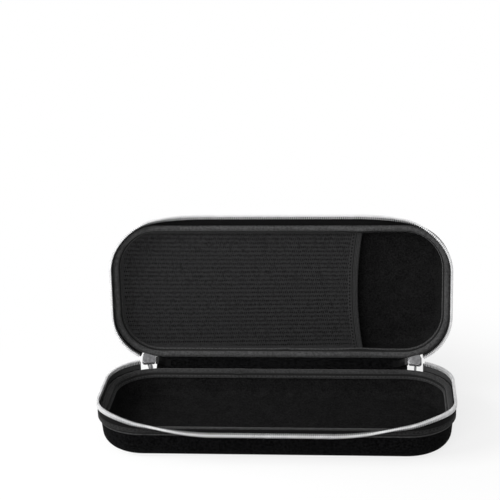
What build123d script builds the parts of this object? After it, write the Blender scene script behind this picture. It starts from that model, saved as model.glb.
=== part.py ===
"""Semi-hard stethoscope case: two moulded shells, a fabric spine, a zip round three sides and a handle.

Lengths are in millimetres and angles in degrees. X runs along the case, -Y is the front and +Z is up.
The origin is the centre of the tray's flat underside. The case lies open, with the lid against its stop.
Every piece is drawn where it lies in the closed case, and its plane is then turned about the spine.
"""

import os
from math import asin, atan, cos, degrees, hypot, pi, radians, sin, tan

from build123d import *

# Driving dimensions: the two shells
case_length = 283.0
case_width = 116.0
corner_radius = 39.0
tray_height = 27.0
lid_height = 24.0
draft_angle = 6.0
edge_round = 11.0
inner_chamfer = 3.5
shell_wall = 3.4
tray_panel = 4.4
lid_panel = 2.6
lining_thickness = 0.6
seam_gap = 0.05
body_gap = 0.3

# Driving dimensions: the binding that wraps each rim
binding_thickness = 0.8
binding_height = 6.0

# Driving dimensions: how the case closes and opens
rim_gap = 16.0
hinge_inset = 1.0
lid_lean = 4.0

# Driving dimensions: the zip
tape_thickness = 0.7
tape_sewn_height = 4.0
chain_clearance = 1.5
tooth_pitch = 1.55
tooth_length = 3.5
tooth_overlap = 0.5
tooth_thickness = 2.2
tooth_tip_width = 0.66
tooth_root_width = 0.5
flap_clearance = 0.7
tray_flap_angle = 105.0
lid_flap_angle = 90.0

# Driving dimensions: sliders and pulls
spine_clearance = 0.5
slider_length = 11.0
slider_plate = 0.9
slider_throat = 2.7
slider_shoulder = 2.2
slider_shoulder_y = 2.4
slider_tail = 1.5
slider_tail_y = 1.7
slider_wedge = 2.4
flange_height = 0.6
flange_width = 0.8
crown_length = 6.0
crown_width = 1.8
crown_height = 3.1
crown_bar = 0.9
crown_round = 1.4
pull_length = 25.0
pull_width = 8.5
pull_thickness = 1.6
pull_pin_radius = 0.6
pull_window_length = 5.2
pull_window_width = 3.2
pull_recess = 0.4
pull_rim = 1.2
pull_slot_length = 4.6
pull_slot_width = 2.2
pull_slot_inset = 3.2
pull_head = 0.8
pull_corner = 3.0
pull_panel_length = 11.0
pin_play = 0.1

# Driving dimensions: the fabric spine and the ends of the zip under it
spine_overrun = 3.5
spine_crest = 8.5
spine_edge = 7.6
spine_half_width = 4.4
spine_thickness = 1.0
spine_tab_length = 4.0
spine_tab_extra = 0.5
stop_length = 2.4
stop_width = 6.0
tail_width = 6.0
tail_thickness = 0.6
tail_ramp = 2.0
tail_lap = 8.0

# Driving dimensions: the webbing handle
handle_root_x = 58.0
webbing_width = 20.0
webbing_thickness = 1.8
handle_reach = 38.0
handle_sag = 3.5
grip_length = 94.0
grip_width = 11.0
grip_thickness = 5.5
grip_chamfer = 1.6
leg_rise = 0.7
leg_shoulder = 10.0
anchor_height = 1.6
root_clearance = 0.1
floor_clearance = 0.2

# Driving dimensions: the mesh pocket in the lid
mesh_thickness = 0.5
pocket_edge_x = 70.0
pocket_bow = 5.5
pocket_tape_width = 8.0
pocket_tape_thickness = 1.1

# Derived sizes of the closed case
hinge_y = case_width / 2 - hinge_inset
middle_height = tray_height + rim_gap / 2
lid_rim_height = tray_height + rim_gap
wall_total = shell_wall + seam_gap + lining_thickness
straight_x = case_length / 2 - corner_radius
straight_y = case_width / 2 - corner_radius
spine_length = 2 * (straight_x + spine_overrun)
slider_x = spine_length / 2 + spine_clearance + slider_length / 2
zip_end_x = slider_x + slider_length / 2 + chain_clearance
tape_offset = tape_thickness / 2 + seam_gap
chain_radius = corner_radius + tape_offset
chain_y = case_width / 2 + tape_offset
corner_arc = chain_radius * pi / 2
tooth_root = tooth_length - tooth_overlap
closing_angle = 90 + lid_lean
crown_opening = crown_height - crown_bar
pin_height = slider_throat / 2 + slider_plate + crown_opening - pin_play - pull_pin_radius


def about_x(y, z, angle):
    """A turn by the angle about the line along X through y and z."""
    return Pos(0, y, z) * Rot(angle, 0, 0) * Pos(0, -y, -z)


def put(place, plane):
    """A plane of the closed case, carried to where its group stands."""
    return Plane(place * plane.location)


# Where each folding group stands in the open case
tray_place = Pos(0, 0, 0)
lid_place = about_x(hinge_y, middle_height, -closing_angle)
spine_place = about_x(hinge_y, middle_height, -closing_angle / 2)
tray_flap_place = about_x(-chain_y, tray_height, tray_flap_angle)
lid_flap_place = lid_place * about_x(-chain_y, lid_rim_height, -lid_flap_angle)

# Each mouth plane looks from the rim into its shell
tray_mouth = Plane((0, 0, tray_height), x_dir=(1, 0, 0), z_dir=(0, 0, -1))
lid_mouth = put(lid_place, Plane.XY.offset(lid_rim_height))


def outline(inset, mode=Mode.ADD):
    """The rim's rounded rectangle, drawn in by the inset."""
    RectangleRounded(
        case_length - 2 * inset,
        case_width - 2 * inset,
        corner_radius - inset,
        mode=mode,
    )


def block_section(inset, start, depth, ease=None, size=0):
    """Half the section of the solid inside a drafted wall, from a corner's axis out to the wall."""
    near = corner_radius - inset
    far = near - (depth - start) * tan(radians(draft_angle))
    with BuildSketch() as section:
        with BuildLine():
            Polyline((0, start), (near, start), (far, depth), (0, depth), close=True)
        make_face()
        if ease:
            ease(section.vertices().sort_by_distance(Vector(far, depth))[0], size)
    return section.sketch


def carried_round(mouth, section):
    """A section turned about the outline's four corners and drawn along the sides between them."""
    corners = ((1, 1), (-1, 1), (-1, -1), (1, -1))
    with BuildPart() as band:
        for quarter, (x, y) in enumerate(corners):
            corner = mouth.location * Pos(x * straight_x, y * straight_y, 0)
            standing = corner * Rot(0, 0, 90 * quarter) * Rot(90, 0, 0) * section
            revolve(standing, axis=Axis(corner.position, mouth.z_dir), revolution_arc=90)
            extrude(standing, amount=2 * (straight_y, straight_x)[quarter % 2])
    return band.part


def shell_layer(mouth, depth, inset, wall, panel, ease, size):
    """One layer of a shell: a drafted wall eased into a flat panel, chamfered inside."""
    with BuildSketch() as section:
        add(block_section(inset, binding_thickness, depth, ease, size))
        add(
            block_section(
                inset + wall, binding_thickness, depth - panel, chamfer, inner_chamfer
            ),
            mode=Mode.SUBTRACT,
        )
    with BuildPart() as layer:
        add(carried_round(mouth, section.sketch))
        with BuildSketch(mouth.offset(depth - panel)):
            Rectangle(2 * straight_x, 2 * straight_y)
        extrude(amount=panel)
    return layer.part


def binding_ring(mouth):
    """Fabric folded over a rim: a U section whose legs follow the wall's draft."""
    slot_start = binding_thickness - seam_gap
    slot_end = binding_thickness + wall_total + seam_gap
    with BuildSketch() as section:
        add(block_section(0, 0, binding_height))
        add(block_section(slot_start, slot_start, binding_height), mode=Mode.SUBTRACT)
        add(block_section(slot_end, slot_start, binding_height))
        add(
            block_section(2 * binding_thickness + wall_total, 0, binding_height),
            mode=Mode.SUBTRACT,
        )
    return carried_round(mouth, section.sketch)


def chain_point(run):
    """The zip's centre line at a run measured from the front's middle: x, y and heading."""
    side = 1 if run >= 0 else -1
    past = abs(run) - straight_x
    if past <= 0:
        return run, -chain_y, 0.0
    if past < corner_arc:
        turn = past / chain_radius
        x = straight_x + chain_radius * sin(turn)
        y = -straight_y - chain_radius * cos(turn)
    elif past < corner_arc + 2 * straight_y:
        turn = pi / 2
        x = straight_x + chain_radius
        y = past - corner_arc - straight_y
    else:
        turn = (past - 2 * straight_y) / chain_radius
        x = straight_x + chain_radius * sin(turn)
        y = straight_y - chain_radius * cos(turn)
    return side * x, y, side * degrees(turn)


def tooth_planes(place, runs):
    """One plane per tooth, with x along the chain, y up and z outwards."""
    planes = []
    for run in runs:
        x, y, heading = chain_point(run)
        turn = radians(heading)
        upright = Plane(
            (x, y, middle_height),
            x_dir=(cos(turn), sin(turn), 0),
            z_dir=(sin(turn), -cos(turn), 0),
        )
        planes.append(put(place, upright))
    return planes


def tooth(up):
    """One tooth, widest at its tip; up is 1 on the tray's side and -1 on the lid's."""
    root, tip = -up * tooth_root, up * tooth_overlap
    with BuildPart() as one:
        with BuildSketch():
            with BuildLine():
                Polyline(
                    (-tooth_root_width / 2, root),
                    (tooth_root_width / 2, root),
                    (tooth_tip_width / 2, tip),
                    (-tooth_tip_width / 2, tip),
                    close=True,
                )
            make_face()
        extrude(amount=tooth_thickness / 2, both=True)
    return one.part


def teeth(place, runs, up):
    """A row of separate teeth at the runs along the zip."""
    one = tooth(up)
    return Compound(children=[plane.location * one for plane in tooth_planes(place, runs)])


# Runs of the two half-chains, offset by half a pitch so that they mesh
end_turn = pi - asin((zip_end_x - straight_x) / chain_radius)
chain_half = straight_x + 2 * straight_y + chain_radius * end_turn
teeth_per_side = int(chain_half / tooth_pitch - 0.5)
tray_runs = [(i + 0.25) * tooth_pitch for i in range(-teeth_per_side, teeth_per_side)]
lid_runs = [-run for run in tray_runs]


def side_runs(runs):
    """The teeth round the corners and sides."""
    return [run for run in runs if abs(run) > straight_x]


def front_runs(runs):
    """The teeth along the front."""
    return [run for run in runs if abs(run) <= straight_x]


def side_tape(place, low, high, front_low, front_high):
    """Tape sewn round a rim, standing at the corners and sides; the front run stands in its flap."""
    with BuildPart() as tape:
        with BuildSketch(put(place, Plane.XY.offset(low))):
            outline(-tape_offset - tape_thickness / 2)
            outline(-tape_offset + tape_thickness / 2, Mode.SUBTRACT)
            with Locations((0, case_width / 2)):
                Rectangle(2 * zip_end_x, case_width, mode=Mode.SUBTRACT)
        extrude(amount=high - low)
        with BuildSketch(put(place, Plane.XY.offset(front_low))):
            with Locations((0, -case_width / 2)):
                Rectangle(2 * straight_x, corner_radius)
        extrude(amount=front_high - front_low, mode=Mode.SUBTRACT)
    return tape.part


def front_tape(place, low, high):
    """The front run of a tape: a flat strip on its own fold."""
    with BuildPart() as strip:
        with BuildSketch(put(place, Plane.XY.offset(low))):
            with Locations((0, -chain_y)):
                Rectangle(2 * (straight_x - body_gap), tape_thickness)
        extrude(amount=high - low)
    return strip.part


def slider_plane(side, height=0):
    """A slider's middle plane: x towards its shoulder, z outwards."""
    turn = asin((slider_x - straight_x) / chain_radius)
    upright = Plane(
        (side * slider_x, straight_y + chain_radius * cos(turn), middle_height),
        x_dir=(side * cos(turn), -sin(turn), 0),
        z_dir=(side * sin(turn), cos(turn), 0),
    )
    return upright.offset(height)


def slider_body(plane):
    """A slider: two shield plates, the wedge between them, flanges and the crown for the pull."""
    outer_face = slider_throat / 2 + slider_plate
    shoulder_x = slider_length / 2 - slider_shoulder
    tail_x = slider_tail - slider_length / 2
    shoulder_edge = slider_shoulder_y + slider_shoulder
    tail_edge = slider_tail_y + slider_tail
    flange_angle = degrees(atan((shoulder_edge - tail_edge) / (shoulder_x - tail_x)))
    flange_y = (shoulder_edge + tail_edge) / 2 - flange_width / 2
    with BuildPart() as body:
        with BuildSketch(
            plane.offset(slider_throat / 2), plane.offset(-outer_face)
        ):
            with Locations((shoulder_x, slider_shoulder_y), (shoulder_x, -slider_shoulder_y)):
                Circle(slider_shoulder)
            with Locations((tail_x, slider_tail_y), (tail_x, -slider_tail_y)):
                Circle(slider_tail)
            make_hull()
        extrude(amount=slider_plate)
        with BuildSketch(plane.offset(-slider_throat / 2)):
            with Locations((shoulder_x, 0)):
                RegularPolygon(slider_wedge / 2, side_count=4, major_radius=True)
        extrude(amount=slider_throat)
        with BuildSketch(
            plane.offset(-slider_throat / 2),
            plane.offset(slider_throat / 2 - flange_height),
        ):
            for side in (1, -1):
                with Locations(((shoulder_x + tail_x) / 2, side * flange_y)):
                    Rectangle(
                        shoulder_x - tail_x, flange_width, rotation=side * flange_angle
                    )
        extrude(amount=flange_height)
        with BuildSketch(Plane(plane.offset(outer_face).location * Rot(90, 0, 0))):
            RectangleRounded(crown_length, 2 * crown_height, crown_round)
            Rectangle(
                crown_length - 2 * crown_bar, 2 * crown_opening, mode=Mode.SUBTRACT
            )
            Rectangle(
                crown_length,
                crown_height,
                align=(Align.CENTER, Align.MAX),
                mode=Mode.SUBTRACT,
            )
        extrude(amount=crown_width / 2, both=True)
    return body.part


def pull_plane(side):
    """A pull's own plane through its pin: x along the pin, y along the pull."""
    pin = slider_plane(side, pin_height).origin
    return Plane(pin, x_dir=(0, 0, 1), z_dir=(-1, 0, 0))


def pull_plate(plane):
    """A pull: a rimmed plate with a thumb slot, forked round the crown and closed by its pin."""
    with BuildPart() as pull:
        with BuildSketch(plane.offset(-pull_thickness / 2)):
            with Locations((0, -pull_head)):
                RectangleRounded(
                    pull_width,
                    pull_length,
                    pull_corner,
                    align=(Align.CENTER, Align.MIN),
                )
            with Locations((0, -pull_head)):
                Rectangle(
                    pull_window_width,
                    pull_window_length + pull_head,
                    align=(Align.CENTER, Align.MIN),
                    mode=Mode.SUBTRACT,
                )
            with Locations((0, pull_length - pull_head - pull_slot_inset)):
                SlotOverall(pull_slot_length, pull_slot_width, mode=Mode.SUBTRACT)
        extrude(amount=pull_thickness)
        with BuildSketch(
            plane.offset(pull_thickness / 2 - pull_recess),
            plane.offset(-pull_thickness / 2),
        ):
            with Locations((0, pull_window_length + pull_rim)):
                Rectangle(
                    pull_width - 2 * pull_rim,
                    pull_panel_length,
                    align=(Align.CENTER, Align.MIN),
                )
        extrude(amount=pull_recess, mode=Mode.SUBTRACT)
        with Locations(plane):
            Cylinder(pull_pin_radius, pull_window_width + pull_rim, rotation=(0, 90, 0))
    return pull.part


def spine_plane(x):
    """Across the spine at x: local x towards the tray, y outwards."""
    across = Plane((x, hinge_y, middle_height), x_dir=(0, 0, -1), z_dir=(1, 0, 0))
    return put(spine_place, across)


def spine_strip(start, end, extra):
    """A length of the spine's bowed fabric, thicker outside by the extra."""
    with BuildPart() as strip:
        with BuildSketch(spine_plane(start)):
            with BuildLine():
                outer = ThreePointArc(
                    (-spine_half_width, spine_edge + extra),
                    (0, spine_crest + extra),
                    (spine_half_width, spine_edge + extra),
                )
                inner = ThreePointArc(
                    (-spine_half_width, spine_edge - spine_thickness),
                    (0, spine_crest - spine_thickness),
                    (spine_half_width, spine_edge - spine_thickness),
                )
                Line(outer @ 0, inner @ 0)
                Line(outer @ 1, inner @ 1)
            make_face()
        extrude(amount=end - start)
    return strip.part


def beyond_pocket(shift, side):
    """Cut the sketch away on one side of the pocket's bowed edge."""
    reach = side * case_length
    line_x = pocket_edge_x + shift
    with BuildLine() as cut:
        edge = ThreePointArc(
            (line_x, -case_width / 2), (line_x - pocket_bow, 0), (line_x, case_width / 2)
        )
        Polyline(
            edge @ 1,
            (line_x + reach, case_width / 2),
            (line_x + reach, -case_width / 2),
            edge @ 0,
        )
    make_face(cut.edges(), mode=Mode.SUBTRACT)


# Derived sizes of the handle, in the plane of the spine
spine_tilt = closing_angle / 2
pivot_out = spine_crest + seam_gap + anchor_height + root_clearance + webbing_thickness / 2
pivot_height = middle_height - pivot_out * sin(radians(spine_tilt))
grip_tip = hypot(handle_reach, grip_thickness / 2)
grip_angle = degrees(
    asin((pivot_height - floor_clearance) / grip_tip)
    - atan(grip_thickness / 2 / handle_reach)
)
handle_lift = spine_tilt - grip_angle
handle_place = spine_place * about_x(hinge_y + pivot_out, middle_height, handle_lift)
handle_plane = put(handle_place, Plane((0, hinge_y + pivot_out, middle_height)))
grip_middle = handle_reach - grip_width / 2
grip_radius = (grip_length**2 / 4 + handle_sag**2) / (2 * handle_sag)
grip_end_turn = asin(grip_length / 2 / grip_radius)


def grip_corner(side, out):
    """A corner of the grip's end, out from its middle line."""
    radius = grip_radius + out
    return side * radius * sin(grip_end_turn), grip_middle - grip_radius + radius * cos(
        grip_end_turn
    )


parts = []


def finish(part, label):
    """Label a piece and write it."""
    part.label = label
    parts.append(part)
    export_step(part, f"parts/{label}.step")


os.makedirs("parts", exist_ok=True)

# Moulded shells, linings and bindings
lining_inset = binding_thickness + shell_wall + seam_gap
for group, mouth, height, panel in (
    ("tray", tray_mouth, tray_height, tray_panel),
    ("lid", lid_mouth, lid_height, lid_panel),
):
    shell = shell_layer(
        mouth, height, binding_thickness, shell_wall, panel, fillet, edge_round
    )
    finish(shell, f"{group}_shell")
    lining_height = height - panel - seam_gap
    lining = shell_layer(
        mouth,
        lining_height,
        lining_inset,
        lining_thickness,
        lining_thickness,
        chamfer,
        inner_chamfer,
    )
    finish(lining, f"{group}_lining")
    finish(binding_ring(mouth), f"{group}_binding")

# The zip: sewn tapes, the front runs on their folds, and the two half-chains
tray_tape_top = middle_height - tooth_root - seam_gap
lid_tape_foot = middle_height + tooth_root + seam_gap
sewn_foot = tray_height - tape_sewn_height
sewn_top = lid_rim_height + tape_sewn_height
finish(
    side_tape(tray_place, sewn_foot, tray_tape_top, tray_height, tray_tape_top),
    "tray_zip_tape",
)
finish(
    side_tape(lid_place, lid_tape_foot, sewn_top, lid_tape_foot, lid_rim_height),
    "lid_zip_tape",
)
tray_fold = tray_height + flap_clearance
lid_fold = lid_rim_height - flap_clearance
finish(front_tape(tray_flap_place, tray_fold, tray_tape_top), "tray_front_tape")
finish(front_tape(lid_flap_place, lid_tape_foot, lid_fold), "lid_front_tape")
finish(teeth(tray_place, side_runs(tray_runs), 1), "tray_side_teeth")
finish(teeth(tray_flap_place, front_runs(tray_runs), 1), "tray_front_teeth")
finish(teeth(lid_place, side_runs(lid_runs), -1), "lid_side_teeth")
finish(teeth(lid_flap_place, front_runs(lid_runs), -1), "lid_front_teeth")

# Sliders and pulls at the two ends of the spine
for side, hand in ((-1, "left"), (1, "right")):
    finish(slider_body(put(spine_place, slider_plane(side))), f"{hand}_slider")
    finish(pull_plate(put(spine_place, pull_plane(side))), f"{hand}_pull")

# The spine with its folded ends, and the zip's end stops and tape tails under it
inner_end = spine_length / 2 - spine_tab_length
with BuildPart() as spine_panel:
    add(spine_strip(-inner_end + seam_gap, inner_end - seam_gap, 0))
finish(spine_panel.part, "spine_panel")

with BuildPart() as spine_tabs:
    add(spine_strip(-spine_length / 2, -inner_end, spine_tab_extra))
    add(spine_strip(inner_end, spine_length / 2, spine_tab_extra))
finish(spine_tabs.part, "spine_tabs")

stop_x = -(slider_length + stop_length) / 2 - body_gap
with BuildPart() as zip_stops:
    with BuildSketch(
        *[put(spine_place, slider_plane(side, -tooth_thickness / 2)) for side in (-1, 1)]
    ):
        with Locations((stop_x, 0)):
            Rectangle(stop_length, stop_width)
    extrude(amount=tooth_thickness)
finish(zip_stops.part, "zip_stops")

tail_out = hinge_y + spine_edge - spine_thickness
with BuildPart() as zip_tails:
    for side in (-1, 1):
        stop_plane = slider_plane(side)
        stop_end = stop_plane.from_local_coords((stop_x - stop_length / 2 - body_gap, 0, 0))
        tail_end = inner_end - tail_lap
        with BuildSketch(put(spine_place, Plane.XY.offset(middle_height - tail_width / 2))):
            with BuildLine():
                Polyline(
                    (stop_end.X, stop_end.Y),
                    (side * (tail_end + tail_ramp), tail_out),
                    (side * tail_end, tail_out),
                )
            trace(line_width=tail_thickness)
        extrude(amount=tail_width)
finish(zip_tails.part, "zip_tails")

# The handle: anchors on the spine, and the legs and folded grip that swing on them
with BuildPart() as handle_anchors:
    anchor_plane = Plane.XY.offset(middle_height - webbing_thickness / 2)
    with BuildSketch(put(spine_place, anchor_plane)):
        with Locations(
            *[
                (side * handle_root_x, hinge_y + spine_crest + seam_gap)
                for side in (-1, 1)
            ]
        ):
            Rectangle(webbing_width, anchor_height, align=(Align.CENTER, Align.MIN))
    extrude(amount=webbing_thickness)
finish(handle_anchors.part, "handle_anchors")

for side, hand in ((-1, "left"), (1, "right")):
    outer_root = side * (handle_root_x + webbing_width / 2)
    inner_root = side * (handle_root_x - webbing_width / 2)
    top_x, top_y = grip_corner(side, grip_width / 2)
    low_x, low_y = grip_corner(side, -grip_width / 2)
    with BuildPart() as leg:
        with BuildSketch(handle_plane.offset(-webbing_thickness / 2)):
            with BuildLine():
                foot = Line((inner_root, 0), (outer_root, 0))
                outside = Bezier(
                    foot @ 1,
                    (outer_root, leg_rise * top_y),
                    (top_x + side * leg_shoulder, top_y),
                    (top_x + side * seam_gap, top_y),
                )
                end = Line(outside @ 1, (low_x + side * seam_gap, low_y))
                Line(end @ 1, foot @ 0)
            make_face()
        extrude(amount=webbing_thickness)
        with Locations(handle_plane * Pos(side * handle_root_x, 0, 0)):
            Cylinder(webbing_thickness / 2, webbing_width, rotation=(0, 90, 0))
    finish(leg.part, f"{hand}_handle_leg")

with BuildPart() as handle_grip:
    with BuildSketch(handle_plane.offset(-grip_thickness / 2)):
        with BuildLine():
            over = ThreePointArc(
                grip_corner(-1, grip_width / 2),
                (0, grip_middle + grip_width / 2),
                grip_corner(1, grip_width / 2),
            )
            under = ThreePointArc(
                grip_corner(-1, -grip_width / 2),
                (0, grip_middle - grip_width / 2),
                grip_corner(1, -grip_width / 2),
            )
            Line(over @ 0, under @ 0)
            Line(over @ 1, under @ 1)
        make_face()
    extrude(amount=grip_thickness)
    long_edges = handle_grip.edges().filter_by(GeomType.CIRCLE)
    chamfer(long_edges, length=grip_chamfer)
finish(handle_grip.part, "handle_grip")

# The mesh pocket stretched behind the lid's binding, and the elastic tape on its open edge
pocket_depth = binding_height + seam_gap
pocket_inset = (
    binding_thickness + wall_total + binding_height * tan(radians(draft_angle)) + seam_gap
)
with BuildPart() as mesh_pocket:
    with BuildSketch(lid_mouth.offset(pocket_depth)):
        outline(pocket_inset)
        beyond_pocket(-pocket_tape_width, 1)
    extrude(amount=mesh_thickness)
finish(mesh_pocket.part, "mesh_pocket")

with BuildPart() as pocket_tape:
    with BuildSketch(lid_mouth.offset(pocket_depth)):
        outline(pocket_inset)
        beyond_pocket(0, 1)
        beyond_pocket(seam_gap - pocket_tape_width, -1)
    extrude(amount=pocket_tape_thickness)
finish(pocket_tape.part, "pocket_tape")
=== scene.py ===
"""Zipped stethoscope case: its fabrics, zip, webbing and metal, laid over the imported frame."""

import math
from functools import cache
from typing import NamedTuple

import bmesh
import bpy
import numpy as np
from bpy.props import FloatProperty, FloatVectorProperty, PointerProperty
from bpy.types import Operator, Panel, PropertyGroup
from mathutils import Matrix, Vector


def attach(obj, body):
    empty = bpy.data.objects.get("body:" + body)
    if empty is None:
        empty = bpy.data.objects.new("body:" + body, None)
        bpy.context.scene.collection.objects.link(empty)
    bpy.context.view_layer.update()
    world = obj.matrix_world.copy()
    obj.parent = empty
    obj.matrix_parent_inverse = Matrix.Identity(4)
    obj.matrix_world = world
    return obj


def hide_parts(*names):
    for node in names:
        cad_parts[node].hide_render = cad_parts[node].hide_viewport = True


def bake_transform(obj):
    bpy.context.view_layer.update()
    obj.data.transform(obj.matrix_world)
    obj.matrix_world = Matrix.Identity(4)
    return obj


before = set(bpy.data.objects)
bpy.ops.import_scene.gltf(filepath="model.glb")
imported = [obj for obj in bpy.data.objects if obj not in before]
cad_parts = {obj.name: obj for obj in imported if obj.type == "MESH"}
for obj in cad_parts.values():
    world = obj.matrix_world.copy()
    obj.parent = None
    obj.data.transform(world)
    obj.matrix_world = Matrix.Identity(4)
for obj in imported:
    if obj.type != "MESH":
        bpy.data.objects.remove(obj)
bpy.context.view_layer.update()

bl_info = {
    "name": "Zipped Stethoscope Case",
    "version": (1, 0, 0),
    "blender": (4, 5, 0),
    "location": "3D View > Sidebar > Case",
    "description": "Builds the covers, bindings, zip, mesh pocket, spine and handle of a hard case",
    "category": "Object",
}

# Shapes are worked out in millimetres, on the closed case, and laid open at the end
MM = 0.001

# The shells: their outline, walls and draft, and how the binding covers their rims
LENGTH, WIDTH, CORNER = 283.0, 116.0, 39.0
LONG, SHORT = LENGTH / 2 - CORNER, WIDTH / 2 - CORNER
WALL, LINING, SEAM = 3.4, 0.6, 0.05
EDGE_ROUND, DRAFT_ANGLE = 11.0, 6.0
DRAFT = math.tan(math.radians(DRAFT_ANGLE))
BAND, BAND_DEPTH = 0.8, 6.0

# The hinge line's y and z, and the angle that the lid is opened by, in degrees
HINGE_Y, MIDDLE, OPENING = 57.0, 35.0, 94.0

# The zip: it stands out from the rim, folds at its front and ends at an x behind
TAPE_OUT = 0.4
ZIP_RADIUS = CORNER + TAPE_OUT
FOLD_Y = -WIDTH / 2 - TAPE_OUT
ZIP_END, SPLIT_RUN = 119.0, 160.0
SLIDER_X, SLIDER_HALF, SLIDER_GAP, SLIDER_PLATE = 112.0, 5.5, 2.7, 0.9
CROWN_RISE, CROWN_BAR, PIN_RADIUS, PIN_PLAY = 3.1, 0.9, 0.6, 0.1
STOP_LENGTH, STOP_GAP = 2.4, 0.3

# The spine, and the handle that turns about a line beyond it, drawn at its lift in degrees
SPINE_HALF, SPINE_CREST, SPINE_TAB = 106.0, 8.5, 4.0
HANDLE_ROOT, WEBBING, WEBBING_THICK = 58.0, 20.0, 1.8
PIVOT_OUT, HANDLE_LIFT = 11.15, 6.763
GRIP_LENGTH, GRIP_WIDTH, GRIP_THICK, GRIP_SAG, REACH = 94.0, 11.0, 5.5, 3.5, 38.0

# The pocket: the x of its open edge, the edge's bow, and where its mesh is sewn in
POCKET_EDGE, POCKET_BOW, POCKET_TAPE, POCKET_DEPTH, POCKET_SEAM = 70.0, 5.5, 8.0, 6.05, 5.6

# Runs are counted along the rim from the middle of its front, and half of it takes in two quarter turns
QUARTER = CORNER * math.pi / 2
RIM_KNOTS = np.cumsum([0, LONG, QUARTER, 2 * SHORT, QUARTER, LONG])
HALF_RIM = RIM_KNOTS[-1]


class Half(NamedTuple):
    """One half of the case. up is the way from its panel to its rim. Its front tape is turned outwards by
    the flare, in degrees, fully within x = near and not at all beyond x = far."""

    rim: float
    up: int
    height: float
    panel: float
    flare: float
    far: float
    near: float


HALVES = {
    "tray": Half(rim=27.0, up=1, height=27.0, panel=4.4, flare=105.0, far=145.0, near=45.0),
    "lid": Half(rim=43.0, up=-1, height=24.0, panel=2.6, flare=90.0, far=142.0, near=62.0),
}


# ---------------------------------------------------------------- sizes and colours


def length(name, description, default):
    """A length in metres, given in millimetres."""
    return FloatProperty(
        name=name, description=description, default=default * MM, min=0, subtype="DISTANCE", unit="LENGTH"
    )


def colour(name, description, value):
    """A colour whose default is a linear triple."""
    return FloatVectorProperty(
        name=name, description=description, default=value, size=3, min=0, max=1, subtype="COLOR"
    )


class CaseSizes(PropertyGroup):
    """Sizes of the soft parts and the teeth"""

    binding_roll: length("Binding roll", "How far the binding rises over the rim", 0.25)
    binding_bulge: length("Binding bulge", "How far the binding's inner side swells", 0.45)
    cover_crown: length("Lid crown", "How far the lid's outer panel swells", 0.7)
    tooth_pitch: length("Tooth pitch", "Distance between the teeth of one half-chain", 1.55)
    tooth_head: length("Tooth head", "Width of a tooth's head", 1.46)
    tooth_leg: length("Tooth leg", "Width of a tooth's leg", 0.56)
    hole_row: length("Mesh row", "Distance between the rows of holes in the mesh", 3.57)
    hole_step: length("Mesh step", "Distance between the holes of one row", 1.63)
    twill_step: length("Twill step", "Distance between the ribs of the outer twill", 1.0)


class CaseColours(PropertyGroup):
    """Dyes and metals. The tray's binding is the lid's cloth, painted darker as shade."""

    twill: colour("Outer twill", "Woven fabric over the shells", (0.0015, 0.0015, 0.0016))
    lining: colour("Lining", "Brushed fabric inside the shells", (0.0066, 0.0066, 0.0067))
    binding: colour("Lid binding", "Tape folded over the lid's rim", (0.042, 0.042, 0.0425))
    # The lid's and the tray's bindings are one cloth: the tray's colour is a darker copy of the lid's, which
    # is painted shade
    tray_binding: colour("Tray binding", "Tape folded over the tray's rim", (0.024, 0.024, 0.0243))
    edging: colour("Edging", "Tape sewn outside the rims", (0.012, 0.012, 0.0122))
    mesh: colour("Mesh", "Stretch mesh of the pocket", (0.0088, 0.0088, 0.009))
    elastic: colour("Elastic", "Tape on the pocket's open edge", (0.021, 0.021, 0.0213))
    tape: colour("Zip tape", "Woven tape that carries the teeth", (0.0022, 0.0022, 0.0023))
    webbing: colour("Webbing", "Handle webbing", (0.006, 0.006, 0.0062))
    teeth: colour("Teeth", "Silver zip teeth", (0.62, 0.62, 0.625))
    metal: colour("Metal", "Polished slider and pull", (0.17, 0.17, 0.175))
    blacking: colour("Blacking", "Blackened metal of the zip's stops", (0.01, 0.01, 0.01))
    inset: colour("Pull inset", "Grey panel set into each pull", (0.09, 0.09, 0.095))
    ink: colour("Ink", "White line printed on the lid", (0.8, 0.8, 0.8))
    floor: colour("Floor", "Floor the case stands on", (0.9, 0.9, 0.9))


def lamp_power(name, description, default):
    """The power of a lamp, in watts."""
    return FloatProperty(name=name, description=description, default=default, min=0, unit="POWER")


class CaseStudio(PropertyGroup):
    """Light of the studio"""

    key_power: lamp_power("Key lamp", "Power of the soft lamp above and to the left", 16.0)
    front_power: lamp_power("Front lamp", "Power of the soft lamp in front", 12.0)
    ambient: FloatProperty(
        name="Room light", description="Even light from the room", default=0.42, min=0, max=2
    )


def mm(name):
    """A size from the panel, in millimetres."""
    return getattr(bpy.context.scene.case_sizes, name) / MM


def tint(name):
    """A colour from the panel."""
    return tuple(getattr(bpy.context.scene.case_colours, name))


# ---------------------------------------------------------------- finishes


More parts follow.
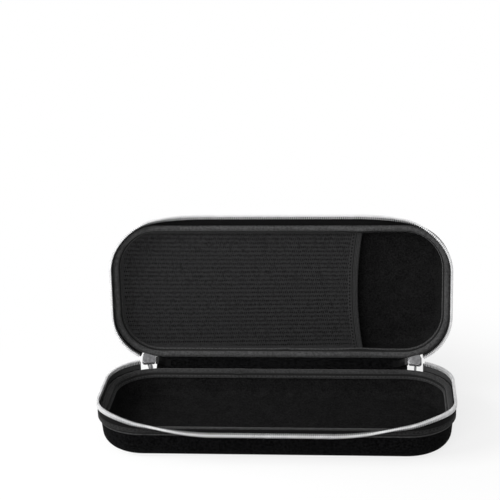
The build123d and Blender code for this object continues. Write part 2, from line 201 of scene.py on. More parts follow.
class Amount:
    """A number that varies over a surface. Arithmetic on it adds Math nodes."""

    def __init__(self, nodes, socket):
        self.nodes, self.socket = nodes, socket

    def _with(self, operation, first, *others):
        return self.nodes.node("ShaderNodeMath", {"operation": operation}, first, *others)

    def __add__(self, other):
        return self._with("ADD", self, other)

    __radd__ = __add__

    def __sub__(self, other):
        return self._with("SUBTRACT", self, other)

    def __rsub__(self, other):
        return self._with("SUBTRACT", other, self)

    def __mul__(self, other):
        return self._with("MULTIPLY", self, other)

    def __truediv__(self, other):
        return self._with("DIVIDE", self, other)

    def __lt__(self, other):
        return self._with("LESS_THAN", self, other)

    def __gt__(self, other):
        return self._with("GREATER_THAN", self, other)

    def __abs__(self):
        return self._with("ABSOLUTE", self)

    def sine(self):
        return self._with("SINE", self)

    def fraction(self):
        return self._with("FRACT", self)

    def whole(self):
        return self._with("FLOOR", self)

    def ribs(self, step):
        """Waves between 0 and 1, one to each step in millimetres."""
        return (self * (2 * math.pi / (step * MM))).sine() * 0.5 + 0.5

    def dashes(self, step, share):
        """1 over the first share of each step in millimetres, and 0 over the rest."""
        return (self / (step * MM)).fraction() < share

    def near(self, place, reach):
        """1 within the reach of a place, both in millimetres, and 0 beyond it."""
        return abs(self - place * MM) < reach * MM


class Nodes:
    """A node tree, of a material or of the room."""

    def __init__(self, tree):
        self.tree = tree

    def node(self, kind, settings=None, *values, out=0, **named):
        """Adds a node: its settings first, then the values or links of its sockets."""
        node = self.tree.nodes.new(kind)
        for name, value in (settings or {}).items():
            setattr(node, name, value)
        for socket, value in (*enumerate(values), *named.items()):
            if isinstance(value, Amount):
                self.tree.links.new(value.socket, node.inputs[socket])
            else:
                node.inputs[socket].default_value = value
        return Amount(self, node.outputs[out])


class Finish(Nodes):
    """A material: its shader with constant settings, and methods that add what varies."""

    def __init__(self, name, dye, roughness, sheen=(0, 0.5), specular=0.5, metallic=0):
        self.base = tint(dye)
        self.material = bpy.data.materials.new(name)
        self.material.use_nodes = True
        super().__init__(self.material.node_tree)
        self.shader = self.tree.nodes["Principled BSDF"]
        constants = {
            "Base Color": (*self.base, 1),
            "Roughness": roughness,
            "Sheen Weight": sheen[0],
            "Sheen Roughness": sheen[1],
            "Specular IOR Level": specular,
            "Metallic": metallic,
        }
        for socket, value in constants.items():
            self.shader.inputs[socket].default_value = value
        self.material.diffuse_color = (*self.base, 1)

    def place(self):
        """Object coordinates, in metres."""
        return self.node("ShaderNodeTexCoord", out=3)

    def run(self):
        """The piece's own UV map: metres along it and metres across it."""
        return self.parts(self.node("ShaderNodeUVMap", {"uv_map": "Run"}))

    def parts(self, vector):
        """The three numbers of a vector."""
        split = self.node("ShaderNodeSeparateXYZ", None, vector)
        return [Amount(self, s) for s in split.socket.node.outputs]

    def grain(self, size, detail):
        """Noise whose spots are about the size, in millimetres."""
        noise = {"Scale": 1 / (size * MM), "Detail": detail, "Roughness": 0.55}
        return self.node("ShaderNodeTexNoise", None, Vector=self.place(), **noise)

    def ramp(self, amount, low, high, *ends):
        """A smooth rise from 0 to 1, or between two ends, as the amount goes from low to high."""
        return self.node("ShaderNodeMapRange", {"interpolation_type": "SMOOTHSTEP"}, amount, low, high, *ends)

    def between(self, mask, low, high, base=None):
        """The colour from low to high as the mask goes from 0 to 1. A number shades the base."""
        mix = self.node("ShaderNodeMix", {"data_type": "RGBA", "clamp_factor": True}, mask, out=2)
        inputs = mix.socket.node.inputs
        for socket, value in ((inputs[6], low), (inputs[7], high)):
            if isinstance(value, Amount):
                self.tree.links.new(value.socket, socket)
            else:
                socket.default_value = (*(min(1.0, c * value) for c in base or self.base), 1)
        return mix

    def vary(self, socket, value):
        """Links a value to the shader's socket."""
        self.tree.links.new(value.socket, self.shader.inputs[socket])

    def relief(self, height, depth, strength):
        """Bump of the height, whose full step is the depth in millimetres."""
        bump = self.node("ShaderNodeBump", None, Strength=strength, Distance=depth * MM, Height=height)
        self.vary("Normal", bump)


def twill_finish(dye):
    """Outer twill: fine ribs aslant every face, a crepe grain, and rubbed lighter yarns."""
    f = Finish("outer_twill", dye, 0.8, sheen=(0.003, 0.5), specular=0.012)
    x, y, z = f.parts(f.place())
    rib = (x + y + z).ribs(mm("twill_step"))
    crepe, fleck, wide = f.grain(0.6, 3), f.grain(1.5, 3), f.grain(38, 2)
    mix = crepe * 1.2 + fleck * 3.0 + rib * 0.15 + wide * 0.4 - 1.9
    f.vary("Base Color", f.between(mix, 0.15, 3.4))
    f.vary("Roughness", 0.72 + crepe * 0.2)
    f.relief(rib * 0.4 + crepe + fleck * 0.6, 0.16, 0.8)
    return f.material


def lining_finish(dye):
    """Brushed knit lining: soft nap, flecked and mottled a little."""
    f = Finish("brushed_lining", dye, 0.92, sheen=(0.006, 0.45), specular=0.02)
    nap, fleck, mottle = f.grain(0.6, 3), f.grain(1.15, 3), f.grain(9, 3)
    f.vary("Base Color", f.between(nap + fleck * 2.4 + mottle * 0.7 - 1.55, 0.35, 1.8))
    f.relief(nap + fleck, 0.2, 0.7)
    return f.material


def binding_finish(dye):
    """Binding tape: fine ribs across it and a soft nap. A sunk seam parts the roll from its stitched foot.
    The seam, the foot and the dents round the stitches are darkened with painted shade.
    """
    f = Finish(f"rim_{dye}", dye, 0.8, sheen=(0.12, 0.4), specular=0.15)
    along, across, _ = f.run()
    rib = along.ribs(0.75)
    nap, fleck, wide = f.grain(0.8, 3), f.grain(1.7, 2), f.grain(16, 2)
    foot = across > 12.4 * MM
    seam, dent = across.near(12.9, 1.0), across.near(14.7, 0.9)
    stitch = along.dashes(3.2, 0.62) * across.near(14.7, 0.3)
    cloth = f.between(nap * 0.8 + fleck * 2.2 + wide * 0.6 - 1.35, 0.5, 1.5)
    # Painted shade: darker in the seam's groove, on the foot and in the dents round the stitches
    shaded_cloth = f.between(dent * 0.15 + foot * 0.25 + seam, cloth, 0.12)
    f.vary("Base Color", f.between(stitch, shaded_cloth, 1.5))
    f.relief(rib * 0.25 + nap * 0.7 + fleck * 0.5 - seam * 1.5 - dent * 0.8 + stitch * 1.2, 0.22, 0.7)
    return f.material


def mesh_finish(dye):
    """Stretch mesh: rows of open holes with small loops between them, and a plain hem round its edge."""
    f = Finish("pocket_mesh", dye, 0.86, sheen=(0.05, 0.5), specular=0.1)
    along, across, _ = f.run()
    hem = f.node("ShaderNodeAttribute", {"attribute_name": "hem"}, out=2)
    open_knit, groove, ridge = hem > 3.2 * MM, hem < 1.4 * MM, hem.near(2.1, 0.6)
    bow = across * (1.0 + along * 0.25) + (along * 19.0).sine() * (0.6 * MM)
    row = bow / (mm("hole_row") * MM)
    step = along / (mm("hole_step") * MM) + (row.whole() * 0.5).fraction()
    off_row = (row.fraction() - 0.5) * mm("hole_row")
    off_step = (step.fraction() - 0.5) * mm("hole_step")
    from_hole = off_row * off_row * 0.3 + off_step * off_step
    band = (off_row * (2 * math.pi / mm("hole_row"))).sine()
    nap, fleck = f.grain(0.7, 2), f.grain(1.8, 2)
    tone = nap * 0.8 + fleck * 2.2 - 0.6 - band * band * 0.12
    # Painted shade: the mesh is darkened along its hem, in the groove where it meets the binding
    tone = tone - (from_hole < 0.2) * open_knit * 0.45 - groove * 1.6
    f.vary("Base Color", f.between(tone + ridge * 0.9, 0.12, 2.0))
    f.vary("Alpha", 1 - (from_hole < 0.12) * open_knit)
    f.relief(tone + ridge, 0.25, 0.7)
    return f.material


def elastic_finish(dye):
    """Elastic tape: ribs along it, and a line of stitches sunk in at the mesh."""
    f = Finish("pocket_elastic", dye, 0.82, sheen=(0.05, 0.4), specular=0.12)
    along, across, _ = f.run()
    rib, nap = across.ribs(1.3), f.grain(0.9, 3)
    stitch = along.dashes(2.9, 0.55) * across.near(1.2, 0.6)
    gutter = across.near(3.4, 0.5)
    cloth = f.between(nap * 1.2 + rib * 0.5 - 0.5, 0.5, 1.7)
    # Painted shade: the sunk gutter along the tape is darkened
    f.vary("Base Color", f.between(stitch + gutter * 0.6, cloth, 0.12))
    f.relief(rib * 0.6 + nap * 0.6 - stitch * 1.5 - gutter, 0.3, 0.7)
    return f.material


def tape_finish(dye):
    """Zip tape: fine ribs along it, crossed by finer picks. Round the corners and ends of the case its
    inner side is faced with the paler binding."""
    f = Finish("zip_tape", dye, 0.85, sheen=(0.01, 0.4), specular=0.05)
    along, across, _ = f.run()
    rib, pick, nap = across.ribs(0.9), along.ribs(0.8), f.grain(1.2, 2)
    end = f.ramp(abs(f.parts(f.place())[0]), 0.098, 0.114)
    weave = rib * 0.3 + pick * 0.3 + nap * 0.8 - 0.2
    plain = f.between(weave, 0.4, 2.2)
    pale = f.between(weave, 0.5, 1.3, tint("binding"))
    f.vary("Base Color", f.between(end * across.near(2.3, 2.3), plain, pale))
    f.relief(rib * 0.6 + pick * 0.5 + nap * 0.3, 0.12, 0.7)
    return f.material


def edging_finish(dye):
    """Tape sewn outside the rim: the binding's cloth in a darker dye, with a row of stitches on each side. It
    is darkened along one edge and round its rows of stitches with painted shade.
    """
    f = Finish("outer_edging", dye, 0.85, sheen=(0.05, 0.4), specular=0.08)
    along, across, _ = f.run()
    rib, nap, fleck = along.ribs(0.9), f.grain(0.8, 3), f.grain(1.6, 2)
    side = abs(across)
    stitch = along.dashes(3.2, 0.6) * side.near(3.2, 0.3)
    cloth = f.between(nap * 0.8 + fleck * 2.2 - 1.0, 0.45, 1.6)
    # Painted shade: darker along one edge and in bands round the rows of stitches
    shaded_cloth = f.between((side < 0.6 * MM) + side.near(3.2, 0.7) * 0.6, cloth, 0.15)
    f.vary("Base Color", f.between(stitch, shaded_cloth, 1.8))
    f.relief(rib * 0.25 + nap * 0.7 + stitch, 0.2, 0.7)
    return f.material


def webbing_finish(dye):
    """Flat webbing: raised warp ribs with a herringbone of picks."""
    f = Finish("webbing", dye, 0.72, sheen=(0.04, 0.35), specular=0.2)
    along, across, _ = f.run()
    zigzag = abs((across / (3.4 * MM)).fraction() - 0.5) * 4.0
    rib = (along * (2 * math.pi / (1.1 * MM)) + zigzag * 2.0).sine() * 0.5 + 0.5
    nap = f.grain(0.5, 2)
    f.vary("Base Color", f.between(rib * 0.7 + nap * 0.6 - 0.2, 0.45, 2.0))
    f.relief(rib + nap * 0.3, 0.22, 0.8)
    return f.material


def teeth_finish(dye):
    """Silvered teeth: bright, a little uneven from tooth to tooth."""
    f = Finish("silver_teeth", dye, 0.3, metallic=0.25)
    wide = f.grain(5, 2)
    f.vary("Base Color", f.between(wide * 1.6 - 0.3, 0.8, 1.1))
    f.vary("Roughness", 0.25 + wide * 0.2)
    return f.material


def metal_finish(dye):
    """Polished metal with faint rubbing marks and a clouded sheen."""
    f = Finish("polished_metal", dye, 0.2, metallic=1)
    cloud, scratch = f.grain(2.2, 3), f.grain(0.5, 4)
    f.vary("Base Color", f.between(cloud * 1.6 - 0.3, 0.6, 1.5))
    f.vary("Roughness", 0.12 + cloud * 0.2)
    f.relief(scratch, 0.02, 0.5)
    return f.material


def blacking_finish(dye):
    """Blackened metal, worn a little brighter in places."""
    f = Finish("blackened_metal", dye, 0.45, metallic=0.6)
    wear = f.grain(1.1, 3)
    f.vary("Base Color", f.between(wear * 1.5 - 0.4, 1, 3))
    f.vary("Roughness", 0.35 + wear * 0.3)
    return f.material


def inset_finish(dye):
    """Satin grey panel of a pull, cast with a fine grain."""
    f = Finish("pull_inset", dye, 0.5, metallic=0.7)
    grain = f.grain(0.25, 3)
    f.vary("Base Color", f.between(grain, 0.7, 1.35))
    f.vary("Roughness", 0.4 + grain * 0.25)
    f.relief(grain, 0.03, 0.5)
    return f.material


def ink_finish(dye):
    """Screen-printed ink that lets the weave show a little."""
    f = Finish("white_ink", dye, 0.6, specular=0.3)
    weave = f.grain(0.6, 3)
    f.vary("Base Color", f.between(weave * 1.6 - 0.2, 0.82, 1))
    f.relief(weave, 0.05, 0.5)
    return f.material


FINISHES = {
    "twill": twill_finish,
    "lining": lining_finish,
    "binding": binding_finish,
    "tray_binding": binding_finish,
    "mesh": mesh_finish,
    "elastic": elastic_finish,
    "tape": tape_finish,
    "edging": edging_finish,
    "webbing": webbing_finish,
    "teeth": teeth_finish,
    "metal": metal_finish,
    "blacking": blacking_finish,
    "inset": inset_finish,
    "ink": ink_finish,
}


@cache
def finish(dye):
    """The material in that colour of the panel, made once."""
    return FINISHES[dye](dye)


# ---------------------------------------------------------------- surfaces


def turned(points, y, z, degrees):
    """Points turned about the line along X through y and z. The angle may differ from point to point."""
    points = np.asarray(points, float)
    a = np.radians(degrees)
    dy, dz = points[..., 1] - y, points[..., 2] - z
    return np.stack(
        [points[..., 0], y + dy * np.cos(a) - dz * np.sin(a), z + dy * np.sin(a) + dz * np.cos(a)], -1
    )


def laid_open(points, group):
    """Points of the closed case, where their group lies in the open one."""
    angle = {"tray": 0.0, "spine": -OPENING / 2, "lid": -OPENING}[group]
    return turned(points, HINGE_Y, MIDDLE, angle)


def smooth_step(t):
    """0 before 0, 1 after 1, and 3t^2 - 2t^3 between."""
    t = np.clip(t, 0, 1)
    return t * t * (3 - 2 * t)


def squared(wave, power):
    """A wave between -1 and 1, raised to the power with its sign kept: a low power fills its corners."""
    return np.sign(wave) * np.abs(wave) ** power


def rim_stations(runs):
    """For each run along the rim, from the middle of the front towards +X: the point that the rim turns
    about or slides past, and the direction out. Straights keep the direction and corners keep the point."""
    around = (np.asarray(runs, float) + HALF_RIM) % (2 * HALF_RIM) - HALF_RIM
    side, far = np.where(around < 0, -1.0, 1.0), np.abs(around)
    turn = np.interp(far, RIM_KNOTS, np.radians([0, 0, 90, 90, 180, 180]))
    x = side * np.interp(far, RIM_KNOTS, [0, LONG, LONG, LONG, LONG, 0])
    y = np.interp(far, RIM_KNOTS, [-SHORT, -SHORT, -SHORT, SHORT, SHORT, SHORT])
    return np.stack([x, y], -1), np.stack([side * np.sin(turn), -np.cos(turn)], -1)


def rim_runs(start, end, straight=4.0, corner=2.2):
    """Runs from start to end, closer together round the corners."""
    marks = np.concatenate([-RIM_KNOTS[:0:-1], RIM_KNOTS])
    marks = np.concatenate([[start], marks[(marks > start + 1e-6) & (marks < end - 1e-6)], [end]])
    runs = []
    for low, high in zip(marks[:-1], marks[1:]):
        _, out = rim_stations([low + 0.01, high - 0.01])
        step = straight if np.allclose(out[0], out[1]) else corner
        runs.append(np.linspace(low, high, max(2, int(round((high - low) / step)) + 1))[:-1])
    return np.concatenate(runs + [[end]])


def whole_rim(straight=4.0, corner=2.2):
    """Runs once round the rim, with the last one left out where the loop closes."""
    return rim_runs(-HALF_RIM, HALF_RIM, straight, corner)[:-1]


def round_rim(runs, inset, height, shrink=1.0):
    """Surface carried round the rim: shrink * (centre + (corner radius - inset) * out) at each height."""
    centre, out = rim_stations(runs)
    inset, height, shrink = np.broadcast_arrays(inset, height, shrink)
    inset, height, shrink = (
        a if a.ndim == 2 else np.broadcast_to(a, (len(runs), a.size)) for a in (inset, height, shrink)
    )
    flat = shrink[..., None] * (centre[:, None] + (CORNER - inset)[..., None] * out[:, None])
    return np.concatenate([flat, height[..., None]], -1)


def spaced(path):
    """Distance along a path of points, from its start."""
    return np.concatenate([[0], np.cumsum(np.linalg.norm(np.diff(path, axis=0), axis=-1))])


def grid_faces(rows, columns, wrap_rows=False, wrap_columns=False):
    """Quads of a grid, with each quad's row and column numbers."""
    i, j = np.meshgrid(
        np.arange(rows if wrap_rows else rows - 1),
        np.arange(columns if wrap_columns else columns - 1),
        indexing="ij",
    )
    i, j = i.ravel(), j.ravel()
    up, over = (i + 1) % rows, (j + 1) % columns
    quads = np.stack([i * columns + j, up * columns + j, up * columns + over, i * columns + over], -1)
    return quads, i, j


def quad_map(i, j, along, across):
    """The Run map of a grid's quads: each corner's distance along and across."""
    corners = [(i, j), (i + 1, j), (i + 1, j + 1), (i, j + 1)]
    return np.stack([np.stack([along[a], across[b]], -1) for a, b in corners], 1).reshape(-1, 2)


def make_mesh(name, points, faces, uvs=None, sharp=40.0, weld=0.0):
    """A mesh from points in millimetres. A closed one is turned so that its faces look outwards."""
    mesh = bpy.data.meshes.new(name)
    mesh.from_pydata((np.asarray(points) * MM).tolist(), [], [list(map(int, f)) for f in faces])
    if uvs is not None:
        layer = mesh.uv_layers.new(name="Run")
        layer.data.foreach_set("uv", (np.asarray(uvs, np.float32) * MM).ravel())
    if weld:
        work = bmesh.new()
        work.from_mesh(mesh)
        bmesh.ops.remove_doubles(work, verts=work.verts, dist=weld * MM)
        bmesh.ops.recalc_face_normals(work, faces=work.faces)
        work.to_mesh(mesh)
        work.free()
    mesh.calc_loop_triangles()
    corners = np.zeros(len(mesh.loop_triangles) * 3, np.int32)
    mesh.loop_triangles.foreach_get("vertices", corners)
    co = np.zeros(len(mesh.vertices) * 3)
    mesh.vertices.foreach_get("co", co)
    a, b, c = (co.reshape(-1, 3)[corners.reshape(-1, 3)[:, k]] for k in range(3))
    if np.einsum("ij,ij->i", a, np.cross(b, c)).sum() < 0:
        mesh.flip_normals()
    mesh.polygons.foreach_set("use_smooth", np.ones(len(mesh.polygons), bool))
    mesh.set_sharp_from_angle(angle=math.radians(sharp))
    return mesh


def add_to_scene(name, data):
    """A new object of a mesh, lamp or camera, linked to the scene."""
    added = bpy.data.objects.new(name, data)
    bpy.context.scene.collection.objects.link(added)
    return added


def make_piece(name, mesh, body, material, replaces=()):
    """An object of the mesh that rides on the body and stands for CAD nodes."""
    piece = add_to_scene(name, mesh)
    mesh.materials.append(finish(material))
    if body:
        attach(piece, body)
    if replaces:
        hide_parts(*replaces)
    return piece


def band_mesh(name, rows, along, across, wrap_rows=False, sharp=40.0):
    """A closed band: rows of one closed outline each, in a ring, or in a line with flat ends. Where across
    has no last number of its own, it closes on its first."""
    count, columns = rows.shape[:2]
    across = np.append(across, across[0]) if len(across) == columns else across
    quads, i, j = grid_faces(count, columns, wrap_rows, True)
    uvs = quad_map(i, j, along, across)
    faces = list(quads)
    if not wrap_rows:
        last = (count - 1) * columns
        faces += [list(range(columns)), list(range(last + columns - 1, last - 1, -1))]
        uvs = np.concatenate([uvs, np.zeros((2 * columns, 2))])
    return make_mesh(name, rows.reshape(-1, 3), faces, uvs, sharp)


def domed_mesh(name, rows, along, across, sharp=40.0):
    """A closed skin whose rows run from one pole to the other, right round a loop."""
    count, columns = rows.shape[:2]
    quads, i, j = grid_faces(count, columns, True, False)
    uvs = quad_map(i, j, along, across)
    first, last = count * columns, count * columns + 1
    i = np.arange(count)
    fans = [np.stack([np.full(count, first), (i + 1) % count * columns, i * columns], -1)]
    ends = i * columns + columns - 1
    fans.append(np.stack([ends, (i + 1) % count * columns + columns - 1, np.full(count, last)], -1))
    points = np.concatenate([rows.reshape(-1, 3), [rows[:, 0].mean(0), rows[:, -1].mean(0)]])
    faces = list(quads) + list(fans[0]) + list(fans[1])
    uvs = np.concatenate([uvs, np.zeros((6 * count, 2))])
    return make_mesh(name, points, faces, uvs, sharp)


# ---------------------------------------------------------------- shells, linings and bindings


def wall_to_panel(inset, depth, edge, start):
    """One side of a moulded layer, from the middle of its panel to the mouth: a flat panel, an arc of the
    edge's radius, and a straight drafted wall. Gives insets, depths and how far each ring shrinks."""
    corner = inset + (depth - start) * DRAFT
    reach = edge / math.tan(math.radians((90 + DRAFT_ANGLE) / 2))
    arc = np.radians(np.linspace(0, 90 - DRAFT_ANGLE, 9))
    arc_in = corner + reach - edge * np.sin(arc)
    arc_depth = depth - edge + edge * np.cos(arc)
    wall_depth = np.linspace(arc_depth[-1], start, 6)[1:]
    wall_in = inset + (wall_depth - start) * DRAFT
    shrink = np.array([0.12, 0.4, 0.7, 0.9])
    rings = np.array([30.0] * 5 + [24.0, 18.0])
    insets = np.concatenate([rings, arc_in, wall_in])
    depths = np.concatenate([np.full(rings.size, depth), arc_depth, wall_depth])
    shrinks = np.concatenate([shrink, np.ones(insets.size - shrink.size)])
    return insets, depths, shrinks


def moulded_rows(inset, wall, depth, panel, outer_edge, inner_edge):
    """A moulded layer: its outside from panel to mouth and its inside back again. Gives insets, depths,
    shrinks and how many of the rows are outside."""
    outside = wall_to_panel(inset, depth, outer_edge, BAND)
    inside = wall_to_panel(inset + wall, depth - panel, inner_edge, BAND)
    insets, depths, shrinks = (np.concatenate([a, b[::-1]]) for a, b in zip(outside, inside))
    return insets, depths, shrinks, len(outside[0])


def moulded_mesh(name, group, runs, insets, depths, rows):
    """The closed skin of a moulded layer, laid open, with its Run map from the layer's section."""
    across = spaced(np.stack([insets, depths], -1))
    return domed_mesh(name, laid_open(rows, group), np.append(runs, HALF_RIM), across)


def crown_share(inset):
    """How much of a crown stands at an inset from the outline."""
    return smooth_step((inset - 8) / 26)


def shell_piece(group, crown):
    """A moulded shell in its cover. Its walls waver by two waves, each a sine along the rim times a sine
    down the wall, which fade at the binding and the panel. The panel may swell to a crown."""
    slow_wave, quick_wave, inner_edge, flat_share = 0.14, 0.08, 7.0, 0.75
    runs, (rim, up, height, panel, *_) = whole_rim(), HALVES[group]
    insets, depths, shrinks, outer = moulded_rows(BAND, WALL, height, panel, EDGE_ROUND, inner_edge)
    wave = slow_wave * np.sin(runs / 23 + 0.7)[:, None] * np.sin(depths / 5.5)[None]
    wave = wave + quick_wave * np.sin(runs / 9.1)[:, None] * np.sin(depths / 8 + 1)[None]
    on_wall = smooth_step((height - 3 - depths) / 6) * smooth_step((depths - BAND_DEPTH) / 4)
    bent = insets[None] + wave * on_wall[None] * (np.arange(insets.size) < outer)[None]
    swell = np.zeros(insets.size)
    domed = flat_share + (1 - flat_share) * (1 - shrinks[:outer] ** 2)
    swell[:outer] = crown * crown_share(insets[:outer]) * domed
    rows = round_rim(runs, bent, rim - up * (depths + swell)[None], shrinks[None])
    mesh = moulded_mesh(f"{group}_cover", group, runs, insets, depths, rows)
    make_piece(f"{group}_cover", mesh, group, "twill", [f"{group}_shell"])


def lining_piece(group):
    """The lining: a thin skin against the shell, with a soft round where wall meets panel. Its inside stands
    off where a sine along the rim times a sine down the wall is above 0, below the binding."""
    slack, outer_edge, inner_edge = 0.2, 6.6, 6.0
    runs, (rim, up, height, panel, *_) = whole_rim(), HALVES[group]
    inset, depth = BAND + WALL + SEAM, height - panel - SEAM
    insets, depths, shrinks, outer = moulded_rows(inset, LINING, depth, LINING, outer_edge, inner_edge)
    soft = slack * np.sin(runs / 14)[:, None] * np.sin(depths / 4)[None]
    soft = soft * smooth_step((depths - BAND_DEPTH) / 5)[None] * (np.arange(insets.size) >= outer)[None]
    rows = round_rim(runs, insets[None] + np.maximum(soft, 0), rim - up * depths[None], shrinks[None])
    mesh = moulded_mesh(f"{group}_inner", group, runs, insets, depths, rows)
    make_piece(f"{group}_inner_lining", mesh, group, "lining", [f"{group}_lining"])


def binding_piece(group, lap_run, drawn_at=None):
    """Binding folded over a rim: outer leg, rolled top and a swelling inner leg. The top goes from leg to leg
    as in = middle - half_span cos(a), depth = shoulder - (shoulder + roll) sin(a)^0.8. Its ends lap at one
    place, where it is thicker for a few millimetres. Elastic sewn in at drawn_at draws its inside inwards."""
    runs, (rim, up, *_) = whole_rim(2.5, 1.8), HALVES[group]
    roll, bulge = mm("binding_roll"), mm("binding_bulge")
    legs, shoulder, middle, half_span, thick, inner = 2.5, 2.2, 2.66, 2.59, 0.78, 4.92
    inner_leg, spread, lap_thick, wave_height, drawn_in = 5.2, 1.7, 0.55, 0.09, 1.3
    outer_depth = np.linspace(BAND_DEPTH, legs, 6)
    arc = np.radians(np.linspace(0, 180, 13))
    inner_depth = np.linspace(legs, BAND_DEPTH, 8)
    swell = spread * smooth_step((inner_depth - 0.6) / 6) + bulge * np.sin(np.pi * inner_depth / 6.4)
    under_in = np.array([inner - 0.02 + BAND_DEPTH * DRAFT, inner, thick, thick + BAND_DEPTH * DRAFT])
    under_depth = np.array([BAND_DEPTH, thick, thick, BAND_DEPTH])
    top_in, top_depth = middle - half_span * np.cos(arc), shoulder - (shoulder + roll) * np.sin(arc) ** 0.8
    insets = np.concatenate([outer_depth * DRAFT, top_in, inner_leg + swell, under_in])
    depths = np.concatenate([outer_depth, top_depth, inner_depth, under_depth])
    visible = np.concatenate([np.zeros(6), np.sin(arc), np.ones(8), np.zeros(4)])
    gap = (runs - lap_run + HALF_RIM) % (2 * HALF_RIM) - HALF_RIM
    lap = lap_thick * smooth_step((gap + 5) / 0.8) * smooth_step((9 - gap) / 7)
    ripple = wave_height * np.sin(runs * 2 * np.pi / 9.3) * np.sin(runs / 31) + lap
    if drawn_at is not None:
        x = rim_stations(runs)[0][:, 0]
        ripple = ripple + drawn_in * np.exp(-(((x - drawn_at) / 13) ** 2)) * (x < LONG)
    bent_in = insets[None] + ripple[:, None] * (visible * np.sin(np.linspace(0, np.pi, insets.size)))[None]
    bent_depth = depths[None] - 0.8 * lap[:, None] * visible[None] * (depths < 3)[None]
    rows = laid_open(round_rim(runs, bent_in, rim - up * bent_depth), group)
    outline = np.stack([insets, depths], -1)
    across = spaced(np.concatenate([outline, outline[:1]]))
    mesh = band_mesh(f"{group}_rim", rows, np.append(runs, HALF_RIM), across, wrap_rows=True, sharp=60)
    # The tray's binding takes the darker copy of the binding's colour: painted shade
    dye = "tray_binding" if group == "tray" else "binding"
    make_piece(f"{group}_rim_binding", mesh, group, dye, [f"{group}_binding"])


# ---------------------------------------------------------------- mesh pocket


def pocket_half_length(y):
    """Half the length of the rim's outline, drawn in to the pocket's seam, at each y."""
    radius = CORNER - POCKET_SEAM
    return LONG + np.sqrt(np.maximum(radius**2 - np.maximum(np.abs(y) - SHORT, 0) ** 2, 0))


def pocket_edge(y):
    """The pocket's open edge: an arc that the elastic draws in by the bow at its middle."""
    return POCKET_EDGE - POCKET_BOW * (1 - (y / (WIDTH / 2)) ** 2)


def mesh_piece():
    """The stretched mesh: a sheet from the left end to the elastic. It rises by the slack sin(pi a)^0.6
    cos(pi b / 2)^0.7, with a faint wave, and dips along the hem."""
    slack, wave, dip, thickness = 0.42, 0.1, 0.22, 0.4
    b = np.linspace(-1, 1, 61)
    y = (WIDTH / 2 - POCKET_SEAM) * np.sin(b * np.pi / 2)
    a = 0.5 - 0.5 * np.cos(np.pi * np.linspace(0, 1, 81))
    left = -pocket_half_length(y)
    right = pocket_edge(y) - POCKET_TAPE + 0.6
    x = left[None] + a[:, None] * (right - left)[None]
    yy = np.broadcast_to(y[None], x.shape)
    rise = slack * np.sin(np.pi * a)[:, None] ** 0.6 * np.cos(b * np.pi / 2)[None] ** 0.7
    rise = rise + wave * np.sin(x / 17 + yy / 11) * np.sin(np.pi * a)[:, None] * np.cos(b * np.pi / 2)[None]
    hem = np.minimum(pocket_half_length(yy) + x, WIDTH / 2 - POCKET_SEAM - np.abs(yy))
    rise = rise - dip * np.exp(-(((hem - 2.0) / 0.8) ** 2))
    z = HALVES["lid"].rim + POCKET_DEPTH + 0.42 + rise
    points = laid_open(np.stack([x, yy, z], -1), "lid")
    quads, _, _ = grid_faces(*x.shape)
    flat = np.stack([x.ravel(), yy.ravel()], -1)
    mesh = bpy.data.meshes.new("pocket_mesh")
    mesh.from_pydata((points.reshape(-1, 3) * MM).tolist(), [], quads.tolist())
    layer = mesh.uv_layers.new(name="Run")
    layer.data.foreach_set("uv", (flat[quads.ravel()] * MM).astype(np.float32).ravel())
    layer = mesh.attributes.new("hem", "FLOAT", "POINT")
    layer.data.foreach_set("value", (hem * MM).astype(np.float32).ravel())
    mesh.polygons.foreach_set("use_smooth", np.ones(len(mesh.polygons), bool))
    piece = make_piece("stretch_mesh", mesh, "lid", "mesh", ["mesh_pocket"])
    thick = piece.modifiers.new("thickness", "SOLIDIFY")
    thick.thickness, thick.offset = thickness * MM, 0.0
    return piece


def elastic_piece():
    """The elastic tape on the pocket's open edge: a flat band, softly rounded, along the bowed edge. Its
    seam with the mesh puckers in a sine along it."""
    half_thick, pucker, pucker_step, level = 0.52, 0.05, 2.7, 0.55
    y = np.linspace(-(WIDTH / 2 - POCKET_SEAM), WIDTH / 2 - POCKET_SEAM, 60)
    turn = np.linspace(0, 2 * np.pi, 28, endpoint=False)
    half = POCKET_TAPE / 2
    wide = half * squared(np.cos(turn), 0.35)
    thick = half_thick * squared(np.sin(turn), 0.55)
    ripple = pucker * np.sin(y * 2 * np.pi / pucker_step)
    x = pocket_edge(y)[:, None] - half + wide[None]
    at_seam = wide[None] < -half * 0.5
    z = HALVES["lid"].rim + POCKET_DEPTH + level + thick[None] + ripple[:, None] * at_seam
    rows = np.stack([x, np.broadcast_to(y[:, None], x.shape), z], -1)
    mesh = band_mesh("pocket_elastic", laid_open(rows, "lid"), y, wide + half)
    return make_piece("elastic_tape", mesh, "lid", "elastic", ["pocket_tape"])


# ---------------------------------------------------------------- zip


def flare_share(x, half):
    """How much of the flare a half's front tape has at x: it fades to nothing towards each corner, as it
    does between the two bodies that carry it when the lid closes."""
    return smooth_step((half.far - np.abs(x)) / (half.far - half.near))


def flared(points, group):
    """The front of a tape, turned outwards at the rim."""
    half = HALVES[group]
    return turned(points, FOLD_Y, half.rim, flare_share(points[..., 0], half) * half.up * half.flare)


def follow_flare(piece, group):
    """Bakes the transform of the left or right half of the front into its mesh. Where its flare starts and
    ends along x is worked out, but not used.
    """
    side = 1 if piece.name.endswith("right") else -1
    start, end = ((side * x * MM, 0, 0) for x in (HALVES[group].far, HALVES[group].near))
    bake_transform(piece)


